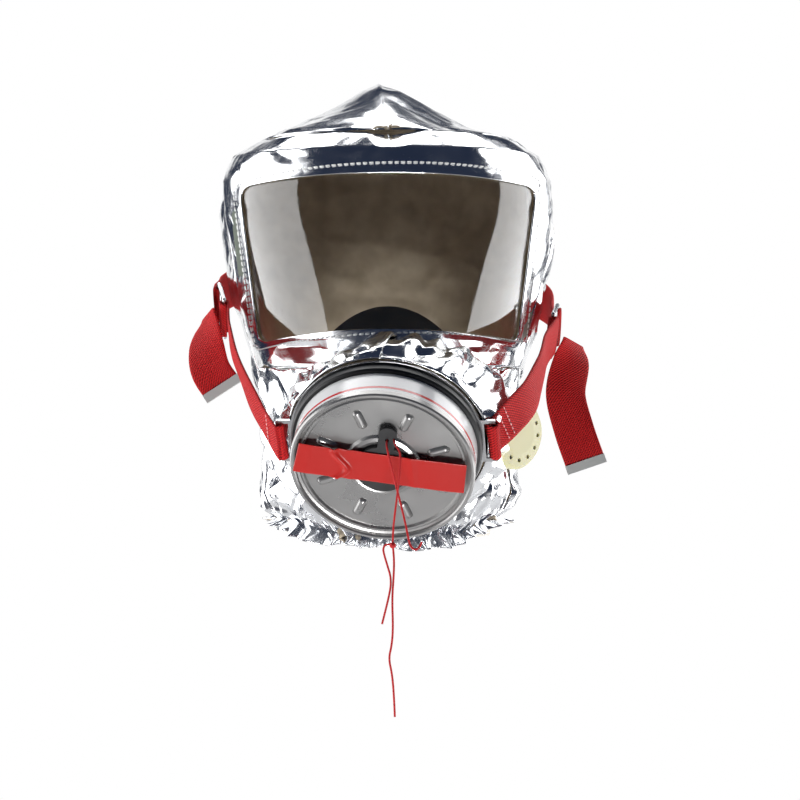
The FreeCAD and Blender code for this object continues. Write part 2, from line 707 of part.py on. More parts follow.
def rear_strap():
    """One length of webbing round the back of the hood, sewn round both buckles' upper bars."""
    route = []
    ends = []
    for centre, stations in ((RIGHT_BUCKLE, RIGHT_STRAP), (LEFT_BUCKLE, LEFT_STRAP)):
        along, across = buckle_axes(centre, stations[-1][0])
        bar = centre + along * BUCKLE_HALF
        ends.append((bar, along, across))
    turns = 10
    clearance = 3.0
    for index in range(turns + 1):
        share = index / turns
        angle = math.radians(14 + 152 * share)
        rise = 26.0 * math.sin(math.pi * share)
        height = 121.0 + 9.0 * share + rise
        point = hood_edge(angle, height, 87.0, -114.0, 103.0, clearance)
        route.append((point, (0, 0, 1)))
    first, last = ends
    start = first[0] + (route[0][0] - first[0]).normalize() * (WIRE + WEB * 0.6)
    end = last[0] + (route[-1][0] - last[0]).normalize() * (WIRE + WEB * 0.6)
    route = [(start, first[2]), *route, (end, last[2])]
    strap = webbing(route)
    for bar, along, across in ends:
        strap = strap.fuse(sleeve(bar, across, WEB_WIDTH))
    return strap


# Loose ends of the webbing: points and width directions, from the pivot down to the tip.
LEFT_TAIL = [(Vector(-92.4, -43, 116), (0.35, -0.75, 0.56)), (Vector(-93.2, -46, 108), (0.65, -0.55, 0.5)),
             (Vector(-93.0, -49, 98), (0.85, -0.3, 0.35)), (Vector(-90.5, -51, 87), (0.9, -0.1, 0.42)),
             (Vector(-84.0, -52, 77), (0.88, 0, 0.48))]
RIGHT_TAIL = [(Vector(95.8, -36, 102), (0.5, 0.8, 0.2)), (Vector(94.5, -38.5, 91), (0.85, 0.4, 0.3)),
              (Vector(91.5, -42, 75), (0.95, 0.1, 0.3)), (Vector(95.5, -44, 57), (0.93, 0, 0.38)),
              (Vector(102, -45, 38), (0.89, 0, 0.45))]


def strap_tip(tail):
    """Folded metal crimp on the end of the webbing."""
    end, across = tail[-1]
    along = end - tail[-2][0]
    along.normalize()
    side = Vector(across)
    side = side - along * side.dot(along)
    side.normalize()
    face = along.cross(side)
    frame = FreeCAD.Matrix(side.x, along.x, face.x, end.x, side.y, along.y, face.y, end.y,
                           side.z, along.z, face.z, end.z, 0, 0, 0, 1)
    shell = Part.makeBox(21.0, 4.6, 2.6, Vector(-10.5, -3.4, -1.3))
    mouth = Part.makeBox(23.0, 3.6, WEB + 0.1, Vector(-11.5, -3.5, -WEB / 2 - 0.05))
    tip = shell.cut(mouth)
    tip.transformShape(frame, True)
    return tip


def harness_parts():
    parts = {
        "left_front_strap": front_strap(-1, LEFT_BUCKLE, LEFT_STRAP),
        "right_front_strap": front_strap(1, RIGHT_BUCKLE, RIGHT_STRAP),
        "rear_head_strap": rear_strap(),
        "left_strap_tail": webbing(LEFT_TAIL),
        "right_strap_tail": webbing(RIGHT_TAIL),
        "left_strap_tip": strap_tip(LEFT_TAIL),
        "right_strap_tip": strap_tip(RIGHT_TAIL),
    }
    for name, centre, stations in (("left_buckle", LEFT_BUCKLE, LEFT_STRAP),
                                   ("right_buckle", RIGHT_BUCKLE, RIGHT_STRAP)):
        along, across = buckle_axes(centre, stations[-1][0])
        parts[name] = buckle(centre, along, across)
    return parts


# ---- pull thread: straight runs joined by tangent arcs ----
LEFT_STRAND = [can_point(EYE_X, EYE_Y, -0.6), can_point(EYE_X, EYE_Y, 3.0), Vector(-0.3, -164.0, 48.5),
               Vector(1.0, -163.6, 43.0), Vector(4.5, -163.2, 29.0), Vector(7.8, -163.6, 16.0),
               Vector(9.3, -164.0, 8.5), Vector(10.2, -164.2, 4.2), Vector(12.2, -164.4, 1.8),
               Vector(14.6, -164.3, 2.6), Vector(15.8, -164.0, 5.6)]
RIGHT_STRAND = [can_point(7.2, 18.2, 0.6), can_point(7.6, 17.8, 3.4), Vector(5.9, -164.4, 48.0),
                Vector(5.6, -165.2, 40.0), Vector(4.5, -165.4, 29.0), Vector(2.9, -165.0, 16.5),
                Vector(2.3, -164.6, 9.5), Vector(2.2, -164.4, 4.1)]
KNOT = Vector(2.2, -164.4, 4.1)
KNOT_RADIUS = 1.5
SHORT_TAIL = [Vector(2.2, -164.4, 4.1), Vector(-0.6, -164.2, 5.0), Vector(-2.4, -164.0, 2.8),
              Vector(-1.8, -164.0, -0.4), Vector(-0.4, -164.2, -5.0), Vector(1.7, -164.5, -12.0),
              Vector(0.4, -164.6, -20.5), Vector(-2.8, -164.2, -32.8)]
LONG_TAIL = [Vector(2.2, -164.4, 4.1), Vector(2.9, -164.6, -1.5), Vector(2.7, -164.7, -10.0),
             Vector(1.9, -164.4, -21.0), Vector(2.4, -164.2, -35.0), Vector(1.7, -164.5, -43.0),
             Vector(0.3, -164.6, -48.8), Vector(1.9, -164.4, -56.0), Vector(2.8, -164.2, -66.0),
             Vector(3.2, -164.3, -76.2)]


def thread_path(name, route):
    """Wire through the route's runs; each corner is an arc of 0.45 of its shorter run."""
    edges = []
    start = route[0]
    radii = []
    for before, corner, after in zip(route, route[1:], route[2:]):
        entry = (corner - before).normalize()
        leave = (after - corner).normalize()
        shorter = min((corner - before).Length, (after - corner).Length)
        turn = entry.getAngle(leave)
        reach = 0.45 * shorter
        radii.append(reach / math.tan(turn / 2))
        first = corner - entry * reach
        last = corner + leave * reach
        centre_way = (leave - entry).normalize()
        centre = corner + centre_way * (radii[-1] / math.cos(turn / 2))
        middle = centre - centre_way * radii[-1]
        edges.append(Part.LineSegment(start, first).toShape())
        edges.append(Part.Arc(first, middle, last).toShape())
        start = last
    edges.append(Part.LineSegment(start, route[-1]).toShape())
    print(name, "radii", " ".join(f"{radius:.1f}" for radius in radii))
    return Part.Wire(edges)


def thread(name, route):
    path = thread_path(name, route)
    direction = route[1] - route[0]
    ring = Part.Wire(Part.makeCircle(THREAD / 2, route[0], direction))
    solid = path.makePipeShell([ring], True, False)
    section = math.pi * (THREAD / 2) ** 2
    print(f"{name} length {path.Length:.1f} volume ratio {solid.Volume / (section * path.Length):.3f}")
    return solid


def thread_parts():
    knot = Part.makeSphere(KNOT_RADIUS, KNOT)
    parts = {"pull_thread_knot": knot,
             "pull_thread_left": thread("pull_thread_left", LEFT_STRAND)}
    for name, route in (("pull_thread_right", RIGHT_STRAND), ("pull_thread_short_tail", SHORT_TAIL),
                        ("pull_thread_long_tail", LONG_TAIL)):
        parts[name] = thread(name, route).cut(knot)
    return parts


def build_all():
    parts = {}
    for group in (hood_panels, neck_parts, visor_parts, mask_parts, holder_parts,
                  canister_parts, inhalation_parts, exhalation_parts, harness_parts,
                  thread_parts):
        parts.update(group())
    parts["front_plug"] = on_can(front_plug())
    parts["rear_plug"] = on_can(rear_plug())
    parts["seal_tape"] = on_can(seal_tape())
    return parts


def main():
    os.makedirs("parts", exist_ok=True)
    for name, shape in build_all().items():
        shape.exportStep("parts/" + name + ".step")
        solids = len(shape.Solids)
        print(f"{name:26s} solids {solids:3d} volume {shape.Volume:10.1f} valid {shape.isValid()}")


main()
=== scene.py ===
"""Looks for a foil escape hood with a front filter canister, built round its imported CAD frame.

Sizes are in millimetres in the row frame and become metres where a mesh or curve is made.
"""
import math

import bmesh
import bpy
import numpy as np
from mathutils import Matrix, Vector
from mathutils.bvhtree import BVHTree
from mathutils.geometry import delaunay_2d_cdt


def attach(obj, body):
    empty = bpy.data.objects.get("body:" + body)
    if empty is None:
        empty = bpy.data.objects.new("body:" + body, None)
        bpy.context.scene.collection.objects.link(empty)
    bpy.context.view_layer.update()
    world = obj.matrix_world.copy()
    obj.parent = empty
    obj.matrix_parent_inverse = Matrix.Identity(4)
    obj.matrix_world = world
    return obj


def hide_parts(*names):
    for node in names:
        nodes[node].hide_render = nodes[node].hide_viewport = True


MM = 0.001

# ---- driving sizes ----
AXIS_Y = -8.0              # the hood's upright axis
SECTIONS = np.array([      # height, half width, front y, back y, squareness
    (0.0, 56.0, -54.0, 60.0, 2.0), (8.0, 66.0, -68.0, 72.0, 2.0), (20.0, 69.0, -80.0, 80.0, 2.0),
    (36.0, 66.0, -88.0, 86.0, 2.0), (60.0, 66.0, -98.0, 92.0, 2.0), (90.0, 72.0, -111.0, 97.0, 2.0),
    (106.0, 76.0, -117.0, 99.0, 2.0), (145.0, 84.0, -116.0, 102.0, 2.1),
    (168.0, 88.0, -112.0, 101.0, 2.2), (184.0, 87.0, -107.0, 98.0, 2.3),
    (197.0, 80.0, -100.0, 95.0, 2.5), (206.0, 67.0, -90.0, 91.0, 2.6)])
CROWN_Z = 206.0
CHIN_Z = 88.0
SIDE_SEAM = 21.0           # degrees from the hood's side line to the front seams
BACK_SEAM = 34.0
CROWN_RISE = 33.0
CROWN_X = -5.0
CROWN_SAG = 4.0            # the crown's sides hang a little below a straight line
CLOTH = 0.8                # foil with its lining
HEM_RISE = 11.0            # how much higher the neck edge runs at the sides
GIRTH_RADIUS = 88.0        # turns an angle round the hood into a rough distance
FLAT_BAND = 7.0            # cloth that lies flat round the window
WINDOW_TOP = (75.0, 179.0, 183.5)      # half width, corner height, middle height
WINDOW_BOTTOM = (66.0, 100.5, 106.5)
WINDOW_CORNER = 7.0
CAN_FACE = Vector((-2.8, -148.0, 39.3))     # centre of the canister's front rim
CAN_TILT = 37.3            # degrees down
CAN_YAW = 7.9              # degrees to the left
CLAMP_RADIUS = 48.4        # ring where the chin bulge's cloth ends
CLAMP_DEPTH = 23.2         # behind the rim
EAR_BAR = 51.85            # radius of the bars that the front straps wrap
EAR_DEPTH = 21.95
WEB_WIDTH = 20.0
WEB = 1.4                  # thickness of the webbing
WIRE = 1.1                 # radius of the buckle wire
BUCKLE_HALF = 7.0          # middle bar to outer bar
THREAD = 1.0               # diameter
TAPE_CREASE = 0.26         # share of the tape's length where it is creased

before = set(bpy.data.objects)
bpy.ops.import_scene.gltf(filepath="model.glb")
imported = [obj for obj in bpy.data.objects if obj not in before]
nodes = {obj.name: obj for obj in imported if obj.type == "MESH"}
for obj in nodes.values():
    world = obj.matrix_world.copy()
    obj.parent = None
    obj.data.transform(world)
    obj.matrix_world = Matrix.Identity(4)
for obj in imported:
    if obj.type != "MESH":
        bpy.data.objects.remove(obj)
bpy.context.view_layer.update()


# ---- places ----
def looking(centre, tilt, yaw):
    """Matrix whose local +Z looks forward, turned down by tilt and left by yaw, in degrees."""
    turn = Matrix.Rotation(math.radians(-yaw), 4, "Z") @ Matrix.Rotation(math.radians(90 + tilt), 4, "X")
    return Matrix.Translation(centre) @ turn


CAN = looking(CAN_FACE, CAN_TILT, CAN_YAW)


def can_point(x, y, z):
    return CAN @ Vector((x, y, z))


def unit(v):
    return v / np.maximum(np.linalg.norm(v, axis=-1, keepdims=True), 1e-9)


# ---- meshes ----
def grid_faces(rows, cols, closed=False, keep=None):
    """Quads of a rows x cols grid; closed joins the last column to the first."""
    index = np.arange(rows * cols).reshape(rows, cols)
    right = np.roll(index, -1, axis=1)
    last = cols if closed else cols - 1
    quads = np.stack([index[:-1, :last], right[:-1, :last], right[1:, :last], index[1:, :last]], axis=-1)
    if keep is not None:
        held = keep & np.roll(keep, -1, axis=1)
        held = held[:-1, :last] & held[1:, :last]
        quads = quads[held]
    return quads.reshape(-1, 4)


def make_mesh(name, points, faces, materials, smooth=True):
    mesh = bpy.data.meshes.new(name)
    points = np.asarray(points, float).reshape(-1, 3) * MM
    mesh.from_pydata(points.tolist(), [], [list(map(int, f)) for f in faces])
    mesh.validate()
    used = np.zeros(len(points), bool)
    used[np.unique(np.concatenate([np.asarray(f) for f in faces]))] = True
    obj = bpy.data.objects.new(name, mesh)
    bpy.context.scene.collection.objects.link(obj)
    for material in materials:
        mesh.materials.append(material)
    mesh.polygons.foreach_set("use_smooth", [smooth] * len(mesh.polygons))
    if not used.all():
        loose = np.nonzero(~used)[0]
        bm = bmesh.new()
        bm.from_mesh(mesh)
        bm.verts.ensure_lookup_table()
        bmesh.ops.delete(bm, geom=[bm.verts[i] for i in loose], context="VERTS")
        bm.to_mesh(mesh)
        bm.free()
    mesh.update()
    return obj


def grid_normals(points, closed=False):
    """Unit normals of a grid of points, along rows x columns."""
    if closed:
        across = np.roll(points, -1, axis=1) - np.roll(points, 1, axis=1)
    else:
        across = np.gradient(points, axis=1)
    up = np.gradient(points, axis=0)
    return unit(np.cross(across, up))


def thicken(obj, thickness, inner_slot=1):
    """Cloth with its lining: the second material goes on the inner skin."""
    skin = obj.modifiers.new("lining", "SOLIDIFY")
    skin.thickness = thickness * MM
    skin.offset = -1
    skin.material_offset = inner_slot
    skin.use_even_offset = False
    return obj


# ---- crumpled foil ----
class Facets:
    """A crumpled sheet: random points joined by flat triangles, heights between -1 and 1."""

    def __init__(self, low, high, size, seed, stretch=1.0):
        rng = np.random.default_rng(seed)
        us = np.arange(low[0] - 2 * size * stretch, high[0] + 2 * size * stretch, size * stretch)
        vs = np.arange(low[1] - 2 * size, high[1] + 2 * size, size)
        u, v = np.meshgrid(us, vs)
        u = (u + rng.uniform(-0.48, 0.48, u.shape) * size * stretch).ravel()
        v = (v + rng.uniform(-0.48, 0.48, v.shape) * size).ravel()
        height = rng.uniform(-1, 1, u.shape)
        spots = [Vector((a / stretch, b)) for a, b in zip(u, v)]
        flat, _, triangles, *_ = delaunay_2d_cdt(spots, [], [], 0, 1e-6)
        self.stretch = stretch
        tops = [Vector((p.x, p.y, h)) for p, h in zip(flat, height)]
        self.tree = BVHTree.FromPolygons(tops, [list(t) for t in triangles])

    def at(self, u, v):
        down = Vector((0, 0, -1))
        shape = u.shape
        out = np.zeros(u.size)
        for i, (a, b) in enumerate(zip((u / self.stretch).ravel(), v.ravel())):
            hit = self.tree.ray_cast(Vector((a, b, 5.0)), down)[0]
            out[i] = hit.z if hit else 0.0
        return out.reshape(shape)


def crumple(u, v, seed, coarse=(16.0, 1.0), middle=(7.0, 0.6), fine=(3.2, 0.25), stretch=1.4):
    """Heights of crumpled foil from (cell size, amplitude) pairs, all in mm."""
    low = (u.min(), v.min())
    high = (u.max(), v.max())
    total = np.zeros(u.shape)
    for step, (size, amount) in enumerate((coarse, middle, fine)):
        if amount:
            total += amount * Facets(low, high, size, seed + step, stretch).at(u, v)
    return total


# ---- the hood's form ----
def section_values(height):
    return [np.interp(height, SECTIONS[:, 0], SECTIONS[:, k]) for k in range(1, 5)]


def wall(angle, height, out=0.0):
    """Points of the hood's wall at polar angles in radians and heights in mm."""
    half, front, back, square = section_values(height)
    depth = np.where(np.sin(angle) > 0, back - AXIS_Y, AXIS_Y - front)
    across = np.abs(np.cos(angle)) / (half + out)
    along = np.abs(np.sin(angle)) / (depth + out)
    radius = (across ** square + along ** square) ** (-1 / square)
    return np.stack([radius * np.cos(angle), AXIS_Y + radius * np.sin(angle), height + 0 * angle], axis=-1)


def raise_hem(points):
    """The neck edge runs higher at the sides than at the front and back."""
    x, y, z = points[..., 0], points[..., 1] - AXIS_Y, points[..., 2]
    side = x ** 2 / np.maximum(x ** 2 + y ** 2, 1.0)
    lifted = z + HEM_RISE * side ** 1.5 * np.clip(1 - z / 60.0, 0, 1.1) ** 2
    return np.stack([x, points[..., 1], lifted], axis=-1)


def front_angle(x, height):
    """Polar angle at which the front of the wall has this x."""
    low = np.full(np.shape(x), -math.pi)
    high = np.zeros(np.shape(x))
    for _ in range(40):
        middle = (low + high) / 2
        less = wall(middle, height)[..., 0] < x
        low = np.where(less, middle, low)
        high = np.where(less, high, middle)
    return (low + high) / 2


def side_line(a, b, rise, count):
    """Points from a to b, bowed in z by rise."""
    t = np.linspace(0, 1, count, endpoint=False)
    x = a[0] + (b[0] - a[0]) * t
    z = a[1] + (b[1] - a[1]) * t + rise * 4 * t * (1 - t)
    return np.stack([x, z], axis=-1)


def rounded_loop(corners, rises, radius, counts):
    """Closed outline in (x, z) through four corners, with rounded corners and bowed sides."""
    line = np.concatenate([side_line(corners[k], corners[(k + 1) % 4], rises[k], counts[k])
                           for k in range(4)])
    firsts = np.cumsum([0, *counts[:3]])
    smooth = line.copy()
    total = len(line)
    for first in firsts:
        corner = line[first]
        near = [k for k in range(-40, 41) if np.linalg.norm(line[(first + k) % total] - corner) < radius]
        before = line[(first + near[0]) % total]
        after = line[(first + near[-1]) % total]
        for k in near:
            t = (k - near[0]) / (near[-1] - near[0])
            smooth[(first + k) % total] = (1 - t) ** 2 * before + 2 * t * (1 - t) * corner + t * t * after
    return smooth


def window_loop(grow, counts, grow_below=None):
    below = grow if grow_below is None else grow_below
    top = WINDOW_TOP[0] + grow
    bottom = WINDOW_BOTTOM[0] + grow
    corners = [(-bottom, WINDOW_BOTTOM[1] - below), (bottom, WINDOW_BOTTOM[1] - below),
               (top, WINDOW_TOP[1] + grow), (-top, WINDOW_TOP[1] + grow)]
    rises = [WINDOW_BOTTOM[2] - WINDOW_BOTTOM[1], 0, WINDOW_TOP[2] - WINDOW_TOP[1], 0]
    return rounded_loop(corners, rises, WINDOW_CORNER, counts)


def chin_ray(angle, share):
    """Bulge from the canister's clamp circle (share 0) to inside the hood (share 1)."""
    across, along = np.cos(angle), np.sin(angle)
    can = np.array(CAN)
    rim = (can[:3, 3] + np.multiply.outer(CLAMP_RADIUS * across, can[:3, 0])
           + np.multiply.outer(CLAMP_RADIUS * along, can[:3, 1]) - CLAMP_DEPTH * can[:3, 2])
    lean = np.array(Vector((0, -0.39, 0.92)).normalized())
    root = (np.stack([48 * across, 0 * across - 40, 0 * across + 57], axis=-1)
            + np.multiply.outer(38 * along, lean))
    bend = np.stack([10 + 64 * across, -112.5 - 3 * across - 20 * along, 57 + 57 * along], axis=-1)
    share = np.asarray(share)[..., None]
    return rim * (1 - share) ** 2 + bend * (2 * share * (1 - share)) + root * share ** 2


def chin_reach(angle):
    """Share at which each ray of the bulge goes through the hood's wall."""
    low, high = np.zeros(angle.shape), np.ones(angle.shape)
    for _ in range(30):
        middle = (low + high) / 2
        p = chin_ray(angle, middle)
        turn = np.arctan2(p[..., 1] - AXIS_Y, p[..., 0])
        w = wall(turn, p[..., 2])
        inside = np.hypot(p[..., 0], p[..., 1] - AXIS_Y) < np.hypot(w[..., 0], w[..., 1] - AXIS_Y)
        high = np.where(inside, middle, high)
        low = np.where(inside, low, middle)
    return low


def arc_length(angle):
    """Rough distance round the hood, for crumple patterns that don't stretch."""
    return angle * GIRTH_RADIUS


# ---- shader helpers; the owner of a node tree is a material or the world ----
def shader(name, base=(0.8, 0.8, 0.8), rough=0.5, metal=0.0, **inputs):
    material = bpy.data.materials.new(name)
    material.use_nodes = True
    node = material.node_tree.nodes["Principled BSDF"]
    node.inputs["Base Color"].default_value = (*base, 1)
    node.inputs["Roughness"].default_value = rough
    node.inputs["Metallic"].default_value = metal
    for key, value in inputs.items():
        node.inputs[key.replace("_", " ")].default_value = value
    return material


def add(material, kind, **values):
    node = material.node_tree.nodes.new(kind)
    for key, value in values.items():
        if key in node.inputs:
            node.inputs[key].default_value = value
        else:
            setattr(node, key, value)
    return node


def join(material, source, target):
    material.node_tree.links.new(source, target)


def bsdf(material):
    return material.node_tree.nodes["Principled BSDF"]


def coordinates(material, scale, source="Object"):
    place = add(material, "ShaderNodeTexCoord")
    mapping = add(material, "ShaderNodeMapping")
    mapping.inputs["Scale"].default_value = scale if hasattr(scale, "__len__") else (scale,) * 3
    join(material, place.outputs[source], mapping.inputs["Vector"])
    return mapping.outputs["Vector"]


def bump(material, height, strength, distance, before=None):
    node = add(material, "ShaderNodeBump")
    node.inputs["Strength"].default_value = strength
    node.inputs["Distance"].default_value = distance * MM
    join(material, height, node.inputs["Height"])
    if before is not None:
        join(material, before, node.inputs["Normal"])
    join(material, node.outputs["Normal"], bsdf(material).inputs["Normal"])
    return node.outputs["Normal"]


def noise(material, vector, detail=4.0, rough=0.55):
    node = add(material, "ShaderNodeTexNoise")
    node.inputs["Scale"].default_value = 1.0
    node.inputs["Detail"].default_value = detail
    node.inputs["Roughness"].default_value = rough
    join(material, vector, node.inputs["Vector"])
    return node.outputs["Fac"]


def span(material, value, low, high, from_low=0.3, from_high=0.7):
    node = add(material, "ShaderNodeMapRange")
    for key, number in (("From Min", from_low), ("From Max", from_high), ("To Min", low), ("To Max", high)):
        node.inputs[key].default_value = number
    join(material, value, node.inputs["Value"])
    return node.outputs["Result"]


def ramp(material, value, stops):
    node = add(material, "ShaderNodeValToRGB")
    elements = node.color_ramp.elements
    while len(elements) < len(stops):
        elements.new(0.5)
    for element, (place, colour) in zip(elements, stops):
        element.position = place
        element.color = (*colour, 1)
    join(material, value, node.inputs["Fac"])
    return node.outputs["Color"]


def facet_height(material, scale):
    """Tilted flat cells, the small creases of foil."""
    vector = coordinates(material, scale)
    cells = add(material, "ShaderNodeTexVoronoi")
    cells.inputs["Scale"].default_value = 1.0
    join(material, vector, cells.inputs["Vector"])
    offset = add(material, "ShaderNodeVectorMath", operation="SUBTRACT")
    join(material, vector, offset.inputs[0])
    join(material, cells.outputs["Position"], offset.inputs[1])
    tilt = add(material, "ShaderNodeVectorMath", operation="SUBTRACT")
    join(material, cells.outputs["Color"], tilt.inputs[0])
    tilt.inputs[1].default_value = (0.5, 0.5, 0.5)
    dot = add(material, "ShaderNodeVectorMath", operation="DOT_PRODUCT")
    join(material, offset.outputs["Vector"], dot.inputs[0])
    join(material, tilt.outputs["Vector"], dot.inputs[1])
    return dot.outputs["Value"]


# ---- materials ----
def foil_material(name, creases):
    material = shader(name, (0.86, 0.87, 0.885), 0.14, 1.0)
    first = bump(material, facet_height(material, (120, 120, 90)), creases, 3.5)
    second = bump(material, facet_height(material, (300, 300, 230)), creases * 0.5, 1.2, first)
    grain = noise(material, coordinates(material, 2600), 2.0)
    bump(material, grain, 0.12, 0.05, second)
    worn = noise(material, coordinates(material, 60), 5.0, 0.65)
    join(material, span(material, worn, 0.09, 0.26), bsdf(material).inputs["Roughness"])
    return material


def cloth_material():
    material = shader("beige_cloth", (0.62, 0.53, 0.40), 0.85, 0.0)
    vector = coordinates(material, 1500)
    weave = add(material, "ShaderNodeTexChecker")
    weave.inputs["Scale"].default_value = 1.0
    join(material, vector, weave.inputs["Vector"])
    bump(material, weave.outputs["Fac"], 0.4, 0.15)
    shade = noise(material, coordinates(material, 90), 5.0)
    colour = ramp(material, shade, [(0.3, (0.50, 0.41, 0.29)), (0.7, (0.68, 0.58, 0.44))])
    join(material, colour, bsdf(material).inputs["Base Color"])
    return material


def webbing_material():
    """Faint ribs under a diagonal twill; U runs along the strap in mm and V across it in mm."""
    material = shader("red_webbing", (0.62, 0.02, 0.02), 0.75, 0.0)
    uv = coordinates(material, 1.0, "UV")
    rib = add(material, "ShaderNodeTexWave", wave_type="BANDS", bands_direction="X", wave_profile="SIN")
    rib.inputs["Scale"].default_value = 0.26
    rib.inputs["Distortion"].default_value = 0.6
    rib.inputs["Detail Scale"].default_value = 2.0
    join(material, uv, rib.inputs["Vector"])
    yarn = add(material, "ShaderNodeTexWave", wave_type="BANDS", bands_direction="DIAGONAL",
               wave_profile="SIN")
    yarn.inputs["Scale"].default_value = 0.40
    yarn.inputs["Distortion"].default_value = 0.4
    join(material, uv, yarn.inputs["Vector"])
    both = add(material, "ShaderNodeMath", operation="MULTIPLY")
    join(material, yarn.outputs["Fac"], both.inputs[0])
    join(material, yarn.outputs["Fac"], both.inputs[1])
    mixed = add(material, "ShaderNodeMath", operation="MULTIPLY_ADD")
    join(material, rib.outputs["Fac"], mixed.inputs[0])
    mixed.inputs[1].default_value = 0.35
    join(material, both.outputs["Value"], mixed.inputs[2])
    first = bump(material, mixed.outputs["Value"], 0.8, 0.4)
    fuzz = noise(material, coordinates(material, 2400), 3.0)
    bump(material, fuzz, 0.25, 0.12, first)
    # The colour follows the weave's height: the red yarn is painted darker in the grooves, painted shade in
    # the weave's recesses.
    colour = ramp(material, mixed.outputs["Value"],
                  [(0.0, (0.20, 0.002, 0.004)), (0.45, (0.46, 0.007, 0.009)), (1.0, (0.62, 0.014, 0.014))])
    join(material, colour, bsdf(material).inputs["Base Color"])
    bsdf(material).inputs["Specular IOR Level"].default_value = 0.25
    return material


def speckled(name, low, high, scale, rough=0.8, depth=0.6):
    """Granular bed."""
    material = shader(name, high, rough)
    cells = add(material, "ShaderNodeTexVoronoi")
    cells.inputs["Scale"].default_value = 1.0
    join(material, coordinates(material, scale), cells.inputs["Vector"])
    colour = ramp(material, cells.outputs["Distance"], [(0.0, high), (0.7, low)])
    join(material, colour, bsdf(material).inputs["Base Color"])
    bump(material, cells.outputs["Distance"], depth, 0.8)
    return material


def brushed(name, base, rough, metal, scale=900, depth=0.04, wear=0.06):
    """Metal, paint or plastic with slight unevenness."""
    material = shader(name, base, rough, metal)
    fine = noise(material, coordinates(material, scale), 3.0)
    bump(material, fine, 0.15, depth)
    broad = noise(material, coordinates(material, 45), 5.0, 0.6)
    uneven = span(material, broad, max(rough - wear, 0.03), rough + wear)
    join(material, uneven, bsdf(material).inputs["Roughness"])
    return material


FOIL = foil_material("foil_cloth", 0.2)
FOIL_FLAT = foil_material("foil_band", 0.10)
CLOTH_IN = cloth_material()
WEBBING = webbing_material()
VISOR = shader("visor_sheet", (0.97, 0.98, 0.98), 0.03, 0.0, Transmission_Weight=1.0, IOR=1.5)
TAPE_FILM = brushed("tape_film", (0.10, 0.12, 0.09), 0.4, 0.0)
RUBBER = brushed("black_rubber", (0.010, 0.010, 0.011), 0.42, 0.0, 700, 0.08)
LID = brushed("lid_steel", (0.33, 0.325, 0.32), 0.30, 0.75, 1400, 0.05)
CAN_STEEL = brushed("can_steel", (0.78, 0.78, 0.77), 0.3, 0.6)
ZINC = brushed("zinc_steel", (0.30, 0.30, 0.31), 0.4, 0.9)
FILTER = brushed("filter_paper", (0.86, 0.85, 0.80), 0.85, 0.0, 1200, 0.3)
DRYING = speckled("drying_grain", (0.55, 0.50, 0.42), (0.85, 0.82, 0.75), 600)
CATALYST = speckled("catalyst_grain", (0.10, 0.07, 0.05), (0.32, 0.24, 0.18), 700)
CARBON = speckled("carbon_grain", (0.004, 0.004, 0.004), (0.045, 0.045, 0.045), 800)
VALVE_RUBBER = brushed("valve_rubber", (0.75, 0.74, 0.68), 0.5, 0.0)
VALVE_PLASTIC = brushed("valve_plastic", (0.63, 0.60, 0.36), 0.33, 0.0, 500, 0.06)
bsdf(VALVE_PLASTIC).inputs["Subsurface Weight"].default_value = 0.25
bsdf(VALVE_PLASTIC).inputs["Subsurface Radius"].default_value = (0.004, 0.003, 0.001)
WIRE_STEEL = brushed("wire_steel", (0.55, 0.55, 0.56), 0.22, 1.0)
CRIMP = brushed("crimp_steel", (0.66, 0.67, 0.64), 0.38, 0.45)
RED_TAPE = shader("red_tape", (0.46, 0.012, 0.008), 0.30, 0.0, Specular_IOR_Level=0.4)
bump(RED_TAPE, noise(RED_TAPE, coordinates(RED_TAPE, 250), 3.0), 0.25, 0.35)
RED_THREAD = shader("red_thread", (0.52, 0.008, 0.010), 0.7)
ELASTIC = brushed("elastic", (0.80, 0.78, 0.72), 0.8, 0.0, 1600, 0.3)
STITCH = shader("stitch_thread", (0.90, 0.90, 0.88), 0.6)
RED_STITCH = shader("strap_stitch", (0.72, 0.30, 0.30), 0.6)


def band_material():
    """White lacquer with a thin red line round the band near the rim."""
    material = shader("band_print", (0.86, 0.86, 0.85), 0.22, 0.0, Coat_Weight=0.4, Coat_Roughness=0.1)
    place = add(material, "ShaderNodeTexCoord")
    shift = add(material, "ShaderNodeVectorMath", operation="SUBTRACT")
    join(material, place.outputs["Object"], shift.inputs[0])
    shift.inputs[1].default_value = CAN_FACE * MM
    depth = add(material, "ShaderNodeVectorMath", operation="DOT_PRODUCT")
    join(material, shift.outputs["Vector"], depth.inputs[0])
    depth.inputs[1].default_value = CAN.to_3x3() @ Vector((0, 0, 1))
    place_mm = span(material, depth.outputs["Value"], 0.0, 1.0, -0.017, -0.003)
    colour = ramp(material, place_mm, [(0.0, (0.86, 0.86, 0.85)), (0.70, (0.86, 0.86, 0.85)),
                                       (0.705, (0.62, 0.03, 0.03)), (0.82, (0.62, 0.03, 0.03)),
                                       (0.825, (0.86, 0.86, 0.85)), (1.0, (0.86, 0.86, 0.85))])
    join(material, colour, bsdf(material).inputs["Base Color"])
    return material


BAND = band_material()

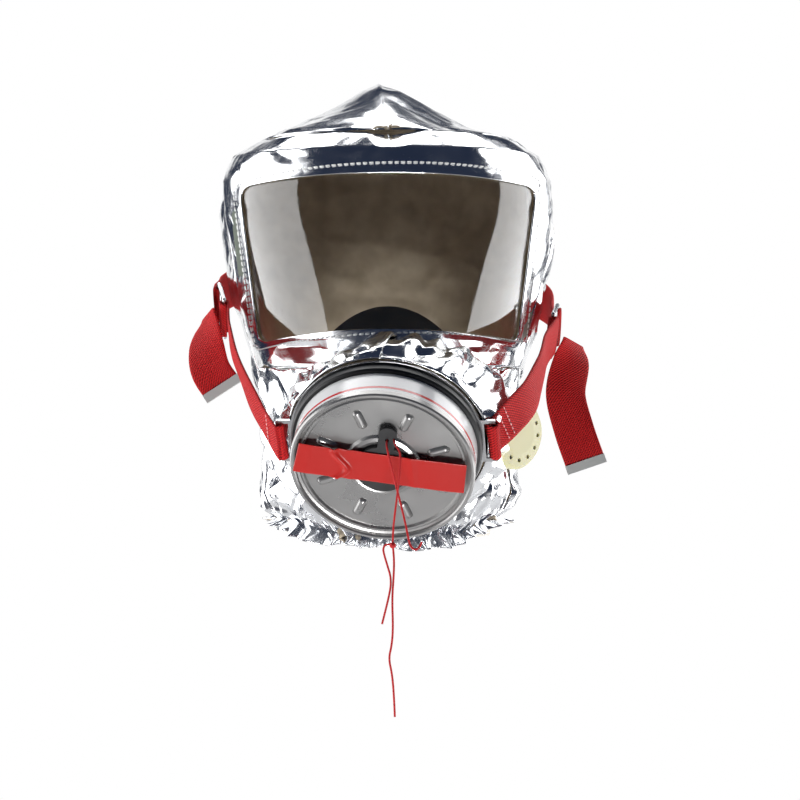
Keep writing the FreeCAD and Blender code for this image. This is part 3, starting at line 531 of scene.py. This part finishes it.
NODE_MATERIALS = {
    "visor": VISOR, "visor_tape": TAPE_FILM, "half_mask": RUBBER, "mask_port_band": ZINC,
    "canister_holder": RUBBER, "harness_plate": WIRE_STEEL, "gusset_clamp_ring": ZINC,
    "canister_gasket": RUBBER, "canister_shell": CAN_STEEL, "canister_front_lid": LID,
    "canister_band": BAND, "screens": ZINC, "particle_filter": FILTER, "drying_bed": DRYING,
    "catalyst_bed": CATALYST, "carbon_bed": CARBON, "inhalation_valve_seat": VALVE_PLASTIC,
    "inhalation_flap": VALVE_RUBBER, "exhalation_valve_body": VALVE_PLASTIC,
    "exhalation_flap": VALVE_RUBBER, "exhalation_cover": VALVE_PLASTIC, "exhalation_port_band": ZINC,
    "left_buckle": WIRE_STEEL, "right_buckle": WIRE_STEEL, "left_strap_tip": CRIMP,
    "right_strap_tip": CRIMP, "front_plug": RUBBER, "rear_plug": RUBBER, "gusset_rim": CLOTH_IN,
    "neck_elastic": ELASTIC, "seal_tape": RED_TAPE, "pull_thread_knot": RED_THREAD,
}
for name, material in NODE_MATERIALS.items():
    data = nodes[name].data
    data.materials.clear()
    data.materials.append(material)


# ---- hood panels ----
def settle(obj, body, *replaced, slot=None):
    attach(obj, body)
    if replaced:
        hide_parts(*replaced)
    return obj


def ring_grid(inner, outer, rows, ease=1.0):
    """Rows of chart points from the inner loop to the outer one."""
    t = np.linspace(0, 1, rows)[:, None, None] ** ease
    return inner[None] * (1 - t) + outer[None] * t


def chart_loop(low_angle, high_angle, low_z, high_z, counts):
    """Rectangle in (angle, height), from the low corner, with the same point counts per side."""
    corners = [(low_angle, low_z), (high_angle, low_z), (high_angle, high_z), (low_angle, high_z)]
    parts = []
    for k in range(4):
        t = np.linspace(0, 1, counts[k], endpoint=False)[:, None]
        parts.append(np.array(corners[k]) * (1 - t) + np.array(corners[(k + 1) % 4]) * t)
    return np.concatenate(parts)


def pull_in(distance, width, depth):
    """Groove along a seam."""
    return -depth * np.exp(-(distance / width) ** 2)


def front_panel():
    counts = [150, 96, 170, 96]
    hole = window_loop(0.0, counts)
    inner = np.stack([front_angle(hole[:, 0], hole[:, 1]), hole[:, 1]], axis=-1)
    edge = math.radians(SIDE_SEAM)
    outer = chart_loop(-math.pi + edge, -edge, CHIN_Z, CROWN_Z, counts)
    chart = ring_grid(inner, outer, 30)
    angle, height = chart[..., 0], chart[..., 1]
    points = wall(angle, height)
    normals = unit(points - np.array([0, AXIS_Y, 0]) - np.stack([0 * angle, 0 * angle, height], -1))
    u, v = arc_length(angle), height
    t = np.linspace(0, 1, 30)[:, None] + 0 * angle
    gap = np.linalg.norm(points - points[:1], axis=-1)
    loose = np.clip((gap - FLAT_BAND) / 7, 0, 1)
    big = crumple(u, v, 11, (24.0, 2.6), (10.0, 0.8), (4.2, 0.22))
    small = crumple(u, v, 21, (16.0, 0.22), (6.0, 0.10), (2.6, 0.035))
    lift = small + big * loose
    lift = lift * np.clip(t / 0.06, 0.15, 1) + pull_in((1 - t) * 22, 1.5, 1.0)
    points = points + normals * lift[..., None]
    faces = grid_faces(*angle.shape, closed=True)[:, ::-1]
    obj = make_mesh("foil_front", points, faces, [FOIL_FLAT, CLOTH_IN])
    thicken(obj, CLOTH)
    return settle(obj, "hood", "front_panel", slot="foil_cloth")


def wall_patch(name, low_angle, high_angle, low_z, high_z, seed, step=1.3, keep_out=None, amounts=None,
               grow=1.0):
    """Crumpled wall panel between two angles in degrees and two heights."""
    cols = max(int(math.radians(high_angle - low_angle) * GIRTH_RADIUS / step), 8)
    rows = max(int((high_z - low_z) / step), 8)
    angle, height = np.meshgrid(np.radians(np.linspace(low_angle, high_angle, cols)),
                                np.linspace(low_z, high_z, rows))
    points = wall(angle, height)
    normals = unit(points - np.stack([0 * angle, 0 * angle + AXIS_Y, height], -1))
    coarse, middle, fine = amounts or ((22.0, 3.0), (11.0, 1.6), (4.6, 0.25))
    lift = crumple(arc_length(angle), height, seed, coarse, middle, fine)
    low_part = np.clip((100 - height) / 60, 0, 1)
    lift = lift * (1 + grow * 0.5 * low_part)
    gather = np.clip((24 - height) / 20, 0, 1)
    pleats = np.sin(angle * 46 + 2.2 * np.sin(angle * 9))
    lift = lift * (1 - 0.5 * gather) + gather * 2.6 * pleats * np.sin(angle * 7.3 + 1)
    to_seam = np.minimum(angle - angle.min(), angle.max() - angle) * GIRTH_RADIUS
    lift = lift * np.clip(to_seam / 4, 0.2, 1) + pull_in(to_seam, 1.6, 0.9)
    points = raise_hem(points + normals * lift[..., None])
    keep = None
    if keep_out is not None:
        keep = ~keep_out(angle, height)
    obj = make_mesh(name, points, grid_faces(rows, cols, keep=keep), [FOIL, CLOTH_IN])
    return thicken(obj, CLOTH)


def chin_room():
    """Whether a place on the wall is inside the chin bulge."""
    turns = np.linspace(0, 2 * math.pi, 181)[:-1]
    roots = chin_ray(turns, chin_reach(turns))
    loop_angle = np.arctan2(roots[:, 1] - AXIS_Y, roots[:, 0])
    loop = np.stack([loop_angle, roots[:, 2]], -1)
    centre = loop.mean(0)
    loop = centre + (loop - centre) * 0.95

    def inside(angle, height):
        hits = np.zeros(angle.shape, int)
        for a, b in zip(loop, np.roll(loop, -1, axis=0)):
            crosses = (a[1] > height) != (b[1] > height)
            with np.errstate(divide="ignore", invalid="ignore"):
                at = a[0] + (height - a[1]) * (b[0] - a[0]) / (b[1] - a[1])
            hits += crosses & (angle < at)
        return hits % 2 == 1
    return inside


def gusset(side, name):
    """Half of the crumpled bulge that carries the canister."""
    edge = math.radians(90)
    turns = np.linspace(-edge, edge, 130)
    if side < 0:
        turns = math.pi - turns
    reach = chin_reach(turns)
    shares = np.linspace(0, 1, 46)
    angle = np.repeat(turns[None], len(shares), axis=0)
    share = shares[:, None] * (reach[None] * 1.03)
    points = chin_ray(angle, share)
    normals = grid_normals(points)
    outward = np.sign(np.sum(normals * (points - np.array([0, -90, 55])), axis=-1, keepdims=True))
    normals = normals * np.where(outward == 0, 1, outward)
    u = angle * 58
    v = shares[:, None] * 45 + 0 * angle
    lift = crumple(u, v, 61 if side < 0 else 71, (15.0, 3.2), (8.0, 2.0), (3.6, 0.3), 1.0)
    pleat = 0.9 * np.sin(angle * 23 + 2 * np.sin(angle * 5)) * np.clip(shares[:, None] / 0.3, 0, 1)
    lift = (lift + pleat) * np.clip(shares[:, None] / 0.12, 0.1, 1)
    points = points + normals * lift[..., None]
    faces = grid_faces(*angle.shape)
    if side > 0:
        faces = faces[:, ::-1]
    obj = make_mesh(name, points, faces, [FOIL, CLOTH_IN])
    return thicken(obj, CLOTH)


def crown(side, name):
    """Half of the crown, up to the ridge that runs front to back."""
    turns = np.radians(np.linspace(-89.6, 89.6, 150))
    angle = turns if side > 0 else math.pi - turns
    foot = wall(angle, np.full(angle.shape, CROWN_Z))
    front, back = foot[:, 1].min(), foot[:, 1].max()
    run = np.clip((foot[:, 1] - front) / (back - front), 0, 1)
    arch = np.sin(math.pi * run) ** 0.8
    ridge = np.stack([CROWN_X * arch, foot[:, 1], CROWN_Z + CROWN_RISE * arch], -1)
    shares = np.linspace(0, 1, 60)[:, None, None]
    points = foot[None] * (1 - shares) + ridge[None] * shares
    sag = CROWN_SAG * arch[None] * np.sin(math.pi * shares[..., 0]) * (1.0 if side < 0 else 0.2)
    points[..., 2] -= sag
    normals = grid_normals(points)
    normals = normals * np.where(normals[..., 2:] < 0, -1, 1)
    seed = 81 if side < 0 else 91
    lift = crumple(points[..., 0], points[..., 1], seed, (30.0, 3.6), (13.0, 0.7), (5.0, 0.12))
    fade = np.clip(np.minimum(shares[..., 0] * 8, (1 - shares[..., 0]) * 8), 0.1, 1)
    points = points + normals * (lift * fade)[..., None]
    faces = grid_faces(points.shape[0], points.shape[1])
    if side < 0:
        faces = faces[:, ::-1]
    obj = make_mesh(name, points, faces, [FOIL_FLAT, CLOTH_IN])
    return thicken(obj, CLOTH)


def frill(name, low, high, waves, depth, seed):
    """Gathered ring below the neck elastic; low and high are (z, half width, front y, back y)."""
    turns = np.linspace(0, 2 * math.pi, 620)[:-1]
    rows = 14
    t = np.linspace(0, 1, rows)[:, None]
    half = low[1] + (high[1] - low[1]) * t
    front = low[2] + (high[2] - low[2]) * t
    back = low[3] + (high[3] - low[3]) * t
    angle = turns[None] + 0 * t
    depth_y = np.where(np.sin(angle) > 0, back - AXIS_Y, AXIS_Y - front)
    wave = np.sin(angle * waves + 2.4 * np.sin(angle * 7) + seed) + 0.5 * np.sin(angle * waves * 0.37 + 2)
    lift = depth * t * wave
    x = (half + lift) * np.cos(angle)
    y = AXIS_Y + (depth_y + lift) * np.sin(angle)
    z = low[0] + (high[0] - low[0]) * t * (1 + 0.22 * np.sin(angle * 5 + 1) + 0.12 * np.sin(angle * 17))
    points = raise_hem(np.stack([x, y, z + 0 * angle], -1))
    obj = make_mesh(name, points, grid_faces(rows, len(turns), closed=True)[:, ::-1], [FOIL, CLOTH_IN])
    return thicken(obj, 0.6)


foil_front = front_panel()
inside_chin = chin_room()
EDGE = SIDE_SEAM
foil_lower = settle(wall_patch("foil_lower_front", -180 + EDGE, -EDGE, 0.0, CHIN_Z, 31, 1.2, inside_chin,
                               ((16.0, 3.6), (8.5, 2.3), (3.8, 0.35)), 1.2), "hood", "lower_front_panel",
                    slot="foil_cloth")
foil_right = settle(wall_patch("foil_right_side", -EDGE, BACK_SEAM, 0.0, CROWN_Z, 41), "hood",
                    "right_side_panel", slot="foil_cloth")
foil_left = settle(wall_patch("foil_left_side", 180 - BACK_SEAM, 180 + EDGE, 0.0, CROWN_Z, 44), "hood",
                   "left_side_panel", slot="foil_cloth")
foil_back = settle(wall_patch("foil_back", BACK_SEAM, 180 - BACK_SEAM, 0.0, CROWN_Z, 47, 1.6), "hood",
                   "back_panel", slot="foil_cloth")
gusset_left = settle(gusset(-1, "foil_chin_left"), "hood", "left_chin_gusset", slot="foil_cloth")
gusset_right = settle(gusset(1, "foil_chin_right"), "hood", "right_chin_gusset", slot="foil_cloth")
crown_left = settle(crown(-1, "foil_crown_left"), "hood", "left_crown_panel", slot="foil_cloth")
crown_right = settle(crown(1, "foil_crown_right"), "hood", "right_crown_panel", slot="foil_cloth")
neck_foil = settle(frill("foil_neck_frill", (3.0, 56.5, -55.0, 61.0), (-3.4, 64.0, -63.0, 68.0),
                         38, 2.2, 0.0), "hood", "neck_frill", slot="foil_cloth")
neck_inner = settle(frill("neck_collar_cloth", (12.0, 51.5, -49.5, 55.5), (-1.6, 59.0, -57.0, 63.0),
                          31, 1.4, 2.0), "hood", "neck_collar", slot="beige_cloth")
neck_inner.data.materials[0] = CLOTH_IN


# ---- stitches ----
def stitch_row(name, path, pitch, length, radius, material, lift):
    """Short thread stitches along a path of points in mm, with their outward directions."""
    line = np.array([p for p, _ in path], float)
    out = np.array([n for _, n in path], float)
    gaps = np.linalg.norm(np.diff(line, axis=0), axis=1)
    along = np.concatenate([[0], np.cumsum(gaps)])
    points, faces = [], []
    sides = 6
    profile = [(-0.5, 0.25), (-0.38, 0.9), (-0.15, 1.0), (0.15, 1.0), (0.38, 0.9), (0.5, 0.25)]
    for start in np.arange(pitch / 2, along[-1], pitch):
        centre = np.array([np.interp(start, along, line[:, k]) for k in range(3)])
        ahead = np.array([np.interp(start + 0.5, along, line[:, k]) for k in range(3)])
        normal = unit(np.array([np.interp(start, along, out[:, k]) for k in range(3)]))
        direction = unit(ahead - centre)
        side = unit(np.cross(normal, direction))
        base = len(points)
        for place, fat in profile:
            ring = centre + direction * place * length + normal * (lift + radius * 0.5 * (1 - abs(place) * 2))
            for k in range(sides):
                turn = 2 * math.pi * k / sides
                points.append(ring + (side * math.cos(turn) + normal * math.sin(turn)) * radius * fat)
        for ring in range(len(profile) - 1):
            for k in range(sides):
                a = base + ring * sides + k
                b = base + ring * sides + (k + 1) % sides
                faces.append((a, b, b + sides, a + sides))
        faces.append(tuple(base + k for k in range(sides))[::-1])
        faces.append(tuple(base + (len(profile) - 1) * sides + k for k in range(sides)))
    return make_mesh(name, points, faces, [material])


def window_stitches():
    """The single row that holds the window, a little outside its opening."""
    corners = [(-68.0, 97.0), (70.5, 101.0), (77.0, 184.0), (-78.5, 180.5)]
    loop = rounded_loop(corners, [5.5, 0, 6.5, 0], 5.0, [120, 80, 130, 80])
    loop = np.concatenate([loop, loop[:1]])
    angle = front_angle(loop[:, 0], loop[:, 1])
    points = wall(angle, loop[:, 1])
    normals = unit(points - np.stack([0 * angle, 0 * angle + AXIS_Y, loop[:, 1]], -1))
    return stitch_row("window_stitches", list(zip(points, normals)), 3.1, 2.3, 0.33, STITCH, 0.55)


settle(window_stitches(), "hood")


# ---- webbing ----
def smooth_route(stations, step):
    """Catmull-Rom line through (point, width direction) stations, resampled every step mm."""
    points = np.array([p for p, _ in stations], float)
    sides = unit(np.array([s for _, s in stations], float))
    padded = np.concatenate([[2 * points[0] - points[1]], points, [2 * points[-1] - points[-2]]])
    wide = np.concatenate([sides[:1], sides, sides[-1:]])
    line, across = [], []
    for k in range(len(points) - 1):
        reach = np.linalg.norm(points[k + 1] - points[k])
        for t in np.linspace(0, 1, max(int(reach / step), 2), endpoint=False):
            for values, out in ((padded, line), (wide, across)):
                a, b, c, d = values[k:k + 4]
                out.append(0.5 * (2 * b + (c - a) * t + (2 * a - 5 * b + 4 * c - d) * t * t
                                  + (3 * b - a - 3 * c + d) * t ** 3))
    line.append(points[-1])
    across.append(sides[-1])
    return np.array(line), unit(np.array(across))


def ribbon(name, stations, body, replaced, wave, seed):
    """Strap of webbing with a rounded selvage, through its stations."""
    line, across = smooth_route(stations, 0.9)
    along = unit(np.gradient(line, axis=0))
    across = unit(across - along * np.sum(across * along, axis=1, keepdims=True))
    face = np.cross(along, across)
    columns = 14
    spread = np.linspace(-1, 1, columns)
    top = [(s * WEB_WIDTH / 2, WEB / 2 * (1 - 0.25 * abs(s) ** 8)) for s in spread]
    bottom = [(s * WEB_WIDTH / 2, -WEB / 2 * (1 - 0.25 * abs(s) ** 8)) for s in spread[::-1]]
    ring = top + [(WEB_WIDTH / 2 + 0.3, 0.0)] + bottom + [(-WEB_WIDTH / 2 - 0.3, 0.0)]
    distance = np.concatenate([[0], np.cumsum(np.linalg.norm(np.diff(line, axis=0), axis=1))])
    rng = np.random.default_rng(seed + 3)
    phase = rng.uniform(0, 6, 3)
    points = np.zeros((len(line), len(ring), 3))
    for k, (x, z) in enumerate(ring):
        curl = wave * (np.sin(distance / 11 + phase[0]) * (x / 10) ** 2
                       + 0.6 * np.sin(distance / 7 + x / 6 + phase[1]))
        curl = curl * np.clip(np.minimum(distance, distance[-1] - distance) / 6, 0, 1)
        points[:, k] = line + across * x + face * (z + curl)[:, None]
    faces = grid_faces(len(line), len(ring), closed=True)
    count = len(ring)
    last = (len(line) - 1) * count
    caps = [tuple(range(count)), tuple(last + k for k in range(count))[::-1]]
    obj = make_mesh(name, points, [*map(tuple, faces), *caps], [WEBBING])
    layer = obj.data.uv_layers.new(name="weave")
    width = np.array([x for x, _ in ring])
    where = np.zeros((len(line) * count, 2))
    where[:, 0] = np.repeat(distance, count)
    where[:, 1] = np.tile(width, len(line))
    loops = np.zeros(len(obj.data.loops), int)
    obj.data.loops.foreach_get("vertex_index", loops)
    layer.data.foreach_set("uv", where[loops].ravel())
    settle(obj, body, *replaced, slot="red_webbing")
    return obj, line, across, face, distance


def buckle_axes(centre, last_point):
    along = unit(np.array(centre, float) - np.array(last_point, float))
    across = np.array([0, -0.55, 0.83])
    return along, unit(across - along * across.dot(along))


LEFT_BUCKLE = (-85.5, -40.0, 118.0)
RIGHT_BUCKLE = (85.5, -40.0, 107.5)
LEFT_STRAP = [((-62.5, -108, 65), (-0.1, -0.52, 0.85)), ((-69.0, -94, 76), (-0.1, -0.55, 0.83)),
              ((-75.5, -75, 92), (-0.1, -0.55, 0.83)), ((-80.5, -57, 105), (-0.05, -0.57, 0.81))]
RIGHT_STRAP = [((59.5, -130, 64), (-0.2, -0.45, 0.9)), ((68.8, -119, 73.5), (-0.2, -0.5, 0.86)),
               ((75, -98, 84.5), (-0.1, -0.56, 0.82)), ((79.3, -68, 97), (0, -0.5, 0.86))]
LEFT_TAIL = [((-92.4, -43, 116), (0.35, -0.75, 0.56)), ((-93.2, -46, 108), (0.65, -0.55, 0.5)),
             ((-93.0, -49, 98), (0.85, -0.3, 0.35)), ((-90.5, -51, 87), (0.9, -0.1, 0.42)),
             ((-84.0, -52, 77), (0.88, 0, 0.48))]
RIGHT_TAIL = [((95.8, -36, 102), (0.5, 0.8, 0.2)), ((94.5, -38.5, 91), (0.85, 0.4, 0.3)),
              ((91.5, -42, 75), (0.95, 0.1, 0.3)), ((95.5, -44, 57), (0.93, 0, 0.38)),
              ((102, -45, 38), (0.89, 0, 0.45))]


def round_bar(bar, axis, leaving, turns=0.8, count=10):
    """Stations that wrap a bar and leave it along a direction."""
    axis = unit(np.array(axis, float))
    leaving = np.array(leaving, float)
    leaving = unit(leaving - axis * leaving.dot(axis))
    normal = np.cross(axis, leaving)
    radius = WIRE + 0.25 + WEB / 2
    stations = []
    for k in range(count):
        turn = 2 * math.pi * turns * (1 - k / (count - 1))
        point = np.array(bar) + radius * (normal * math.cos(turn) - leaving * math.sin(turn))
        stations.append((tuple(point), tuple(axis)))
    return stations


def front_strap(side, centre, stations, name, node):
    bar = np.array(can_point(side * EAR_BAR, 0, -EAR_DEPTH))
    axis = np.array(CAN.to_3x3() @ Vector((0, 1, 0)))
    along, across = buckle_axes(centre, stations[-1][0])
    lower_bar = np.array(centre) - along * BUCKLE_HALF
    start = round_bar(bar, axis, np.array(stations[0][0]) - bar)
    finish = round_bar(lower_bar, across, -along)[::-1]
    return ribbon(name, [*start, *stations, *finish], "hood", [node], 0.35, 5 + side)


left_strap = front_strap(-1, LEFT_BUCKLE, LEFT_STRAP, "webbing_left_front", "left_front_strap")
right_strap = front_strap(1, RIGHT_BUCKLE, RIGHT_STRAP, "webbing_right_front", "right_front_strap")


def rear_strap():
    """Webbing round the back of the hood, from buckle to buckle."""
    route = []
    for index in range(11):
        share = index / 10
        angle = math.radians(14 + 152 * share)
        height = 121.0 + 9.0 * share + 26.0 * math.sin(math.pi * share)
        depth = 103.0 - AXIS_Y
        route.append(((90.0 * math.cos(angle), AXIS_Y + (depth + 3) * math.sin(angle), height), (0, 0, 1)))
    ends = []
    for centre, stations, first in ((RIGHT_BUCKLE, RIGHT_STRAP, route[0][0]),
                                    (LEFT_BUCKLE, LEFT_STRAP, route[-1][0])):
        along, across = buckle_axes(centre, stations[-1][0])
        bar = np.array(centre) + along * BUCKLE_HALF
        ends.append(round_bar(bar, across, np.array(first) - bar))
    ribbon("webbing_rear", [*ends[0], *route, *ends[1][::-1]], "hood", ["rear_head_strap"], 0.3, 9)


rear_strap()
ribbon("webbing_left_tail", LEFT_TAIL, "left_strap_tail", ["left_strap_tail"], 0.5, 12)
ribbon("webbing_right_tail", RIGHT_TAIL, "right_strap_tail", ["right_strap_tail"], 0.5, 15)


def strap_stitches(name, strap, places, body):
    """Rows of pale red stitches across a strap, where the webbing is sewn back on itself."""
    _, line, across, face, distance = strap
    for number, place in enumerate(places):
        k = int(np.argmin(np.abs(distance - place)))
        outward = face[k] if face[k].dot(line[k] - np.array([0, 0, line[k][2]])) > 0 else -face[k]
        points = [(line[k] + across[k] * x, outward) for x in np.linspace(-8.5, 8.5, 12)]
        settle(stitch_row(f"{name}_{number}", points, 2.6, 1.9, 0.32, RED_STITCH, WEB / 2 + 0.12), body)


strap_stitches("left_sewing", left_strap, [22.5], "hood")
strap_stitches("right_sewing", right_strap, [20.5, 24.5], "hood")


# ---- seal tape ----
def seal_tape():
    """Thin plain film, stuck to the lid's rim at its ends and creased near one end."""
    corners = [(-43.0, -0.6), (38.1, -13.8), (40.7, 3.2), (-38.2, 16.2)]
    a, b, c, d = (np.array(corner) for corner in corners)
    columns, rows = 150, 30
    s, t = np.meshgrid(np.linspace(0, 1, columns), np.linspace(0, 1, rows))
    flat = ((1 - s)[..., None] * ((1 - t)[..., None] * a + t[..., None] * d)
            + s[..., None] * ((1 - t)[..., None] * b + t[..., None] * c))
    wander = TAPE_CREASE + 0.05 * np.sin(t * 5)
    crease = np.exp(-((s - wander) / 0.022) ** 2) * 1.3 - 0.5 * np.exp(-((s - wander - 0.05) / 0.03) ** 2)
    second = 0.35 * np.exp(-((s - 0.71 + 0.04 * t) / 0.02) ** 2)
    bend = 0.30 * np.sin(s * 9 + t * 2) + 0.18 * np.sin(s * 23 + 1 - t * 3)
    hang = np.clip(np.minimum(s, 1 - s) / 0.08, 0, 1)
    height = 1.0 + hang * (np.maximum(crease, 0) + second + 0.3 + bend * 0.5)
    edge = 0.22 * np.sin(s * 60) * np.exp(-((s - TAPE_CREASE) / 0.08) ** 2)
    points = np.array([[can_point(p[0], p[1] + e * (2 * v - 1), h) for p, e, v, h in zip(pr, er, vr, hr)]
                       for pr, er, vr, hr in zip(flat, edge, t, height)])
    obj = make_mesh("seal_tape_film", points, grid_faces(rows, columns), [RED_TAPE])
    thicken(obj, 0.12, 0)
    settle(obj, "front_plug", "seal_tape", slot="red_tape")
    return obj


seal_tape()


# ---- pull thread: the same route points as the CAD cords, in metres ----
def metres(points):
    return [tuple(c * MM for c in p) for p in points]


KNOT = (2.2, -164.4, 4.1)
LEFT_STRAND = [tuple(can_point(3.9, 17.6, -0.6)), tuple(can_point(3.9, 17.6, 3.0)), (-0.3, -164.0, 48.5),
               (1.0, -163.6, 43.0), (4.5, -163.2, 29.0), (7.8, -163.6, 16.0), (9.3, -164.0, 8.5),
               (10.2, -164.2, 4.2), (12.2, -164.4, 1.8), (14.6, -164.3, 2.6), (15.8, -164.0, 5.6)]
RIGHT_STRAND = [tuple(can_point(7.2, 18.2, 0.6)), tuple(can_point(7.6, 17.8, 3.4)), (5.9, -164.4, 48.0),
                (5.6, -165.2, 40.0), (4.5, -165.4, 29.0), (2.9, -165.0, 16.5), (2.3, -164.6, 9.5), KNOT]
SHORT_TAIL = [KNOT, (-0.6, -164.2, 5.0), (-2.4, -164.0, 2.8), (-1.8, -164.0, -0.4), (-0.4, -164.2, -5.0),
              (1.7, -164.5, -12.0), (0.4, -164.6, -20.5), (-2.8, -164.2, -32.8)]
LONG_TAIL = [KNOT, (2.9, -164.6, -1.5), (2.7, -164.7, -10.0), (1.9, -164.4, -21.0), (2.4, -164.2, -35.0),
             (1.7, -164.5, -43.0), (0.3, -164.6, -48.8), (1.9, -164.4, -56.0), (2.8, -164.2, -66.0),
             (3.2, -164.3, -76.2)]


def thread(name, route, node):
    curve = bpy.data.curves.new(name, "CURVE")
    curve.dimensions = "3D"
    curve.bevel_depth = THREAD / 2 * MM
    curve.bevel_resolution = 3
    curve.resolution_u = 8
    line = curve.splines.new("NURBS")
    line.points.add(len(route) - 1)
    for point, place in zip(line.points, metres(route)):
        point.co = (*place, 1.0)
    line.order_u = 3
    line.use_endpoint_u = True
    curve.materials.append(RED_THREAD)
    obj = bpy.data.objects.new(name, curve)
    bpy.context.scene.collection.objects.link(obj)
    settle(obj, "front_plug", node, slot="red_thread")
    return obj


def twisted(material):
    wave = add(material, "ShaderNodeTexWave", wave_type="BANDS", bands_direction="DIAGONAL")
    wave.inputs["Scale"].default_value = 1.0
    join(material, coordinates(material, 420), wave.inputs["Vector"])
    bump(material, wave.outputs["Fac"], 0.5, 0.12)


twisted(RED_THREAD)
thread("thread_left", LEFT_STRAND, "pull_thread_left")
thread("thread_right", RIGHT_STRAND, "pull_thread_right")
thread("thread_short_tail", SHORT_TAIL, "pull_thread_short_tail")
thread("thread_long_tail", LONG_TAIL, "pull_thread_long_tail")


# ---- lights, backdrop and camera ----
def emitter(name, strength, colour=(1, 1, 1)):
    material = bpy.data.materials.new(name)
    material.use_nodes = True
    tree = material.node_tree
    tree.nodes.clear()
    light = tree.nodes.new("ShaderNodeEmission")
    light.inputs["Color"].default_value = (*colour, 1)
    light.inputs["Strength"].default_value = strength
    out = tree.nodes.new("ShaderNodeOutputMaterial")
    tree.links.new(light.outputs["Emission"], out.inputs["Surface"])
    return material


def stage_plane(name, centre, right, up, material):
    """Flat stage piece through its centre, spanned by two half-size directions in mm."""
    c, r, u = (np.array(v, float) for v in (centre, right, up))
    obj = make_mesh(name, [c - r - u, c + r - u, c + r + u, c - r + u], [(0, 1, 2, 3)], [material], False)
    return obj


def area_light(name, place, target, size, power, colour=(1, 1, 1)):
    data = bpy.data.lights.new(name, "AREA")
    data.shape = "RECTANGLE"
    data.size, data.size_y = size
    data.energy = power
    data.color = colour
    obj = bpy.data.objects.new(name, data)
    bpy.context.scene.collection.objects.link(obj)
    obj.location = place
    obj.rotation_euler = (Vector(target) - Vector(place)).to_track_quat("-Z", "Y").to_euler()
    return obj


TARGET = (0, 0, 0.12)
stage_plane("backdrop", (0, 2400, 100), (1300, 0, 0), (0, 0, 1100), emitter("backdrop_white", 1.0))
stage_plane("table", (0, 300, -330), (480, 0, 0), (0, 600, 0), shader("table_white", (0.6, 0.6, 0.6), 0.6))
area_light("left_softbox", (-1.15, 0.05, 0.12), TARGET, (1.3, 2.4), 32)
area_light("right_softbox", (1.15, 0.40, 0.12), TARGET, (1.2, 2.4), 32)
area_light("top_softbox", (0, 0.45, 1.25), TARGET, (1.4, 0.7), 14)
area_light("low_fill", (0.05, -1.05, -0.95), TARGET, (0.34, 0.3), 15)

world = bpy.data.worlds.new("studio")
bpy.context.scene.world = world
world.use_nodes = True
background = world.node_tree.nodes["Background"]
direction = add(world, "ShaderNodeTexCoord")
parts = add(world, "ShaderNodeSeparateXYZ")
join(world, direction.outputs["Generated"], parts.inputs["Vector"])
rise = add(world, "ShaderNodeMath", operation="MULTIPLY_ADD")       # down is 0 and up is 1
rise.inputs[1].default_value = 0.5
rise.inputs[2].default_value = 0.5
join(world, parts.outputs["Z"], rise.inputs[0])
NAVY = (0.018, 0.026, 0.05)
SKY = [(0.0, (0.26, 0.26, 0.27)), (0.2, (0.20, 0.20, 0.21)), (0.34, NAVY), (0.92, NAVY)]
join(world, ramp(world, rise.outputs["Value"], SKY), background.inputs["Color"])
background.inputs["Strength"].default_value = 1.0

view = bpy.context.scene.view_settings
view.view_transform = "Standard"
view.look = "None"

camera = bpy.data.cameras.new("camera")
camera.lens = 117
camera.sensor_width = 36
camera.shift_x = 0.015
camera.clip_start = 0.01
camera.clip_end = 20
camera_object = bpy.data.objects.new("camera", camera)
bpy.context.scene.collection.objects.link(camera_object)
camera_object.location = (0, -1.380, 0.072)
camera_object.rotation_euler = (math.radians(90), 0, 0)
bpy.context.scene.camera = camera_object
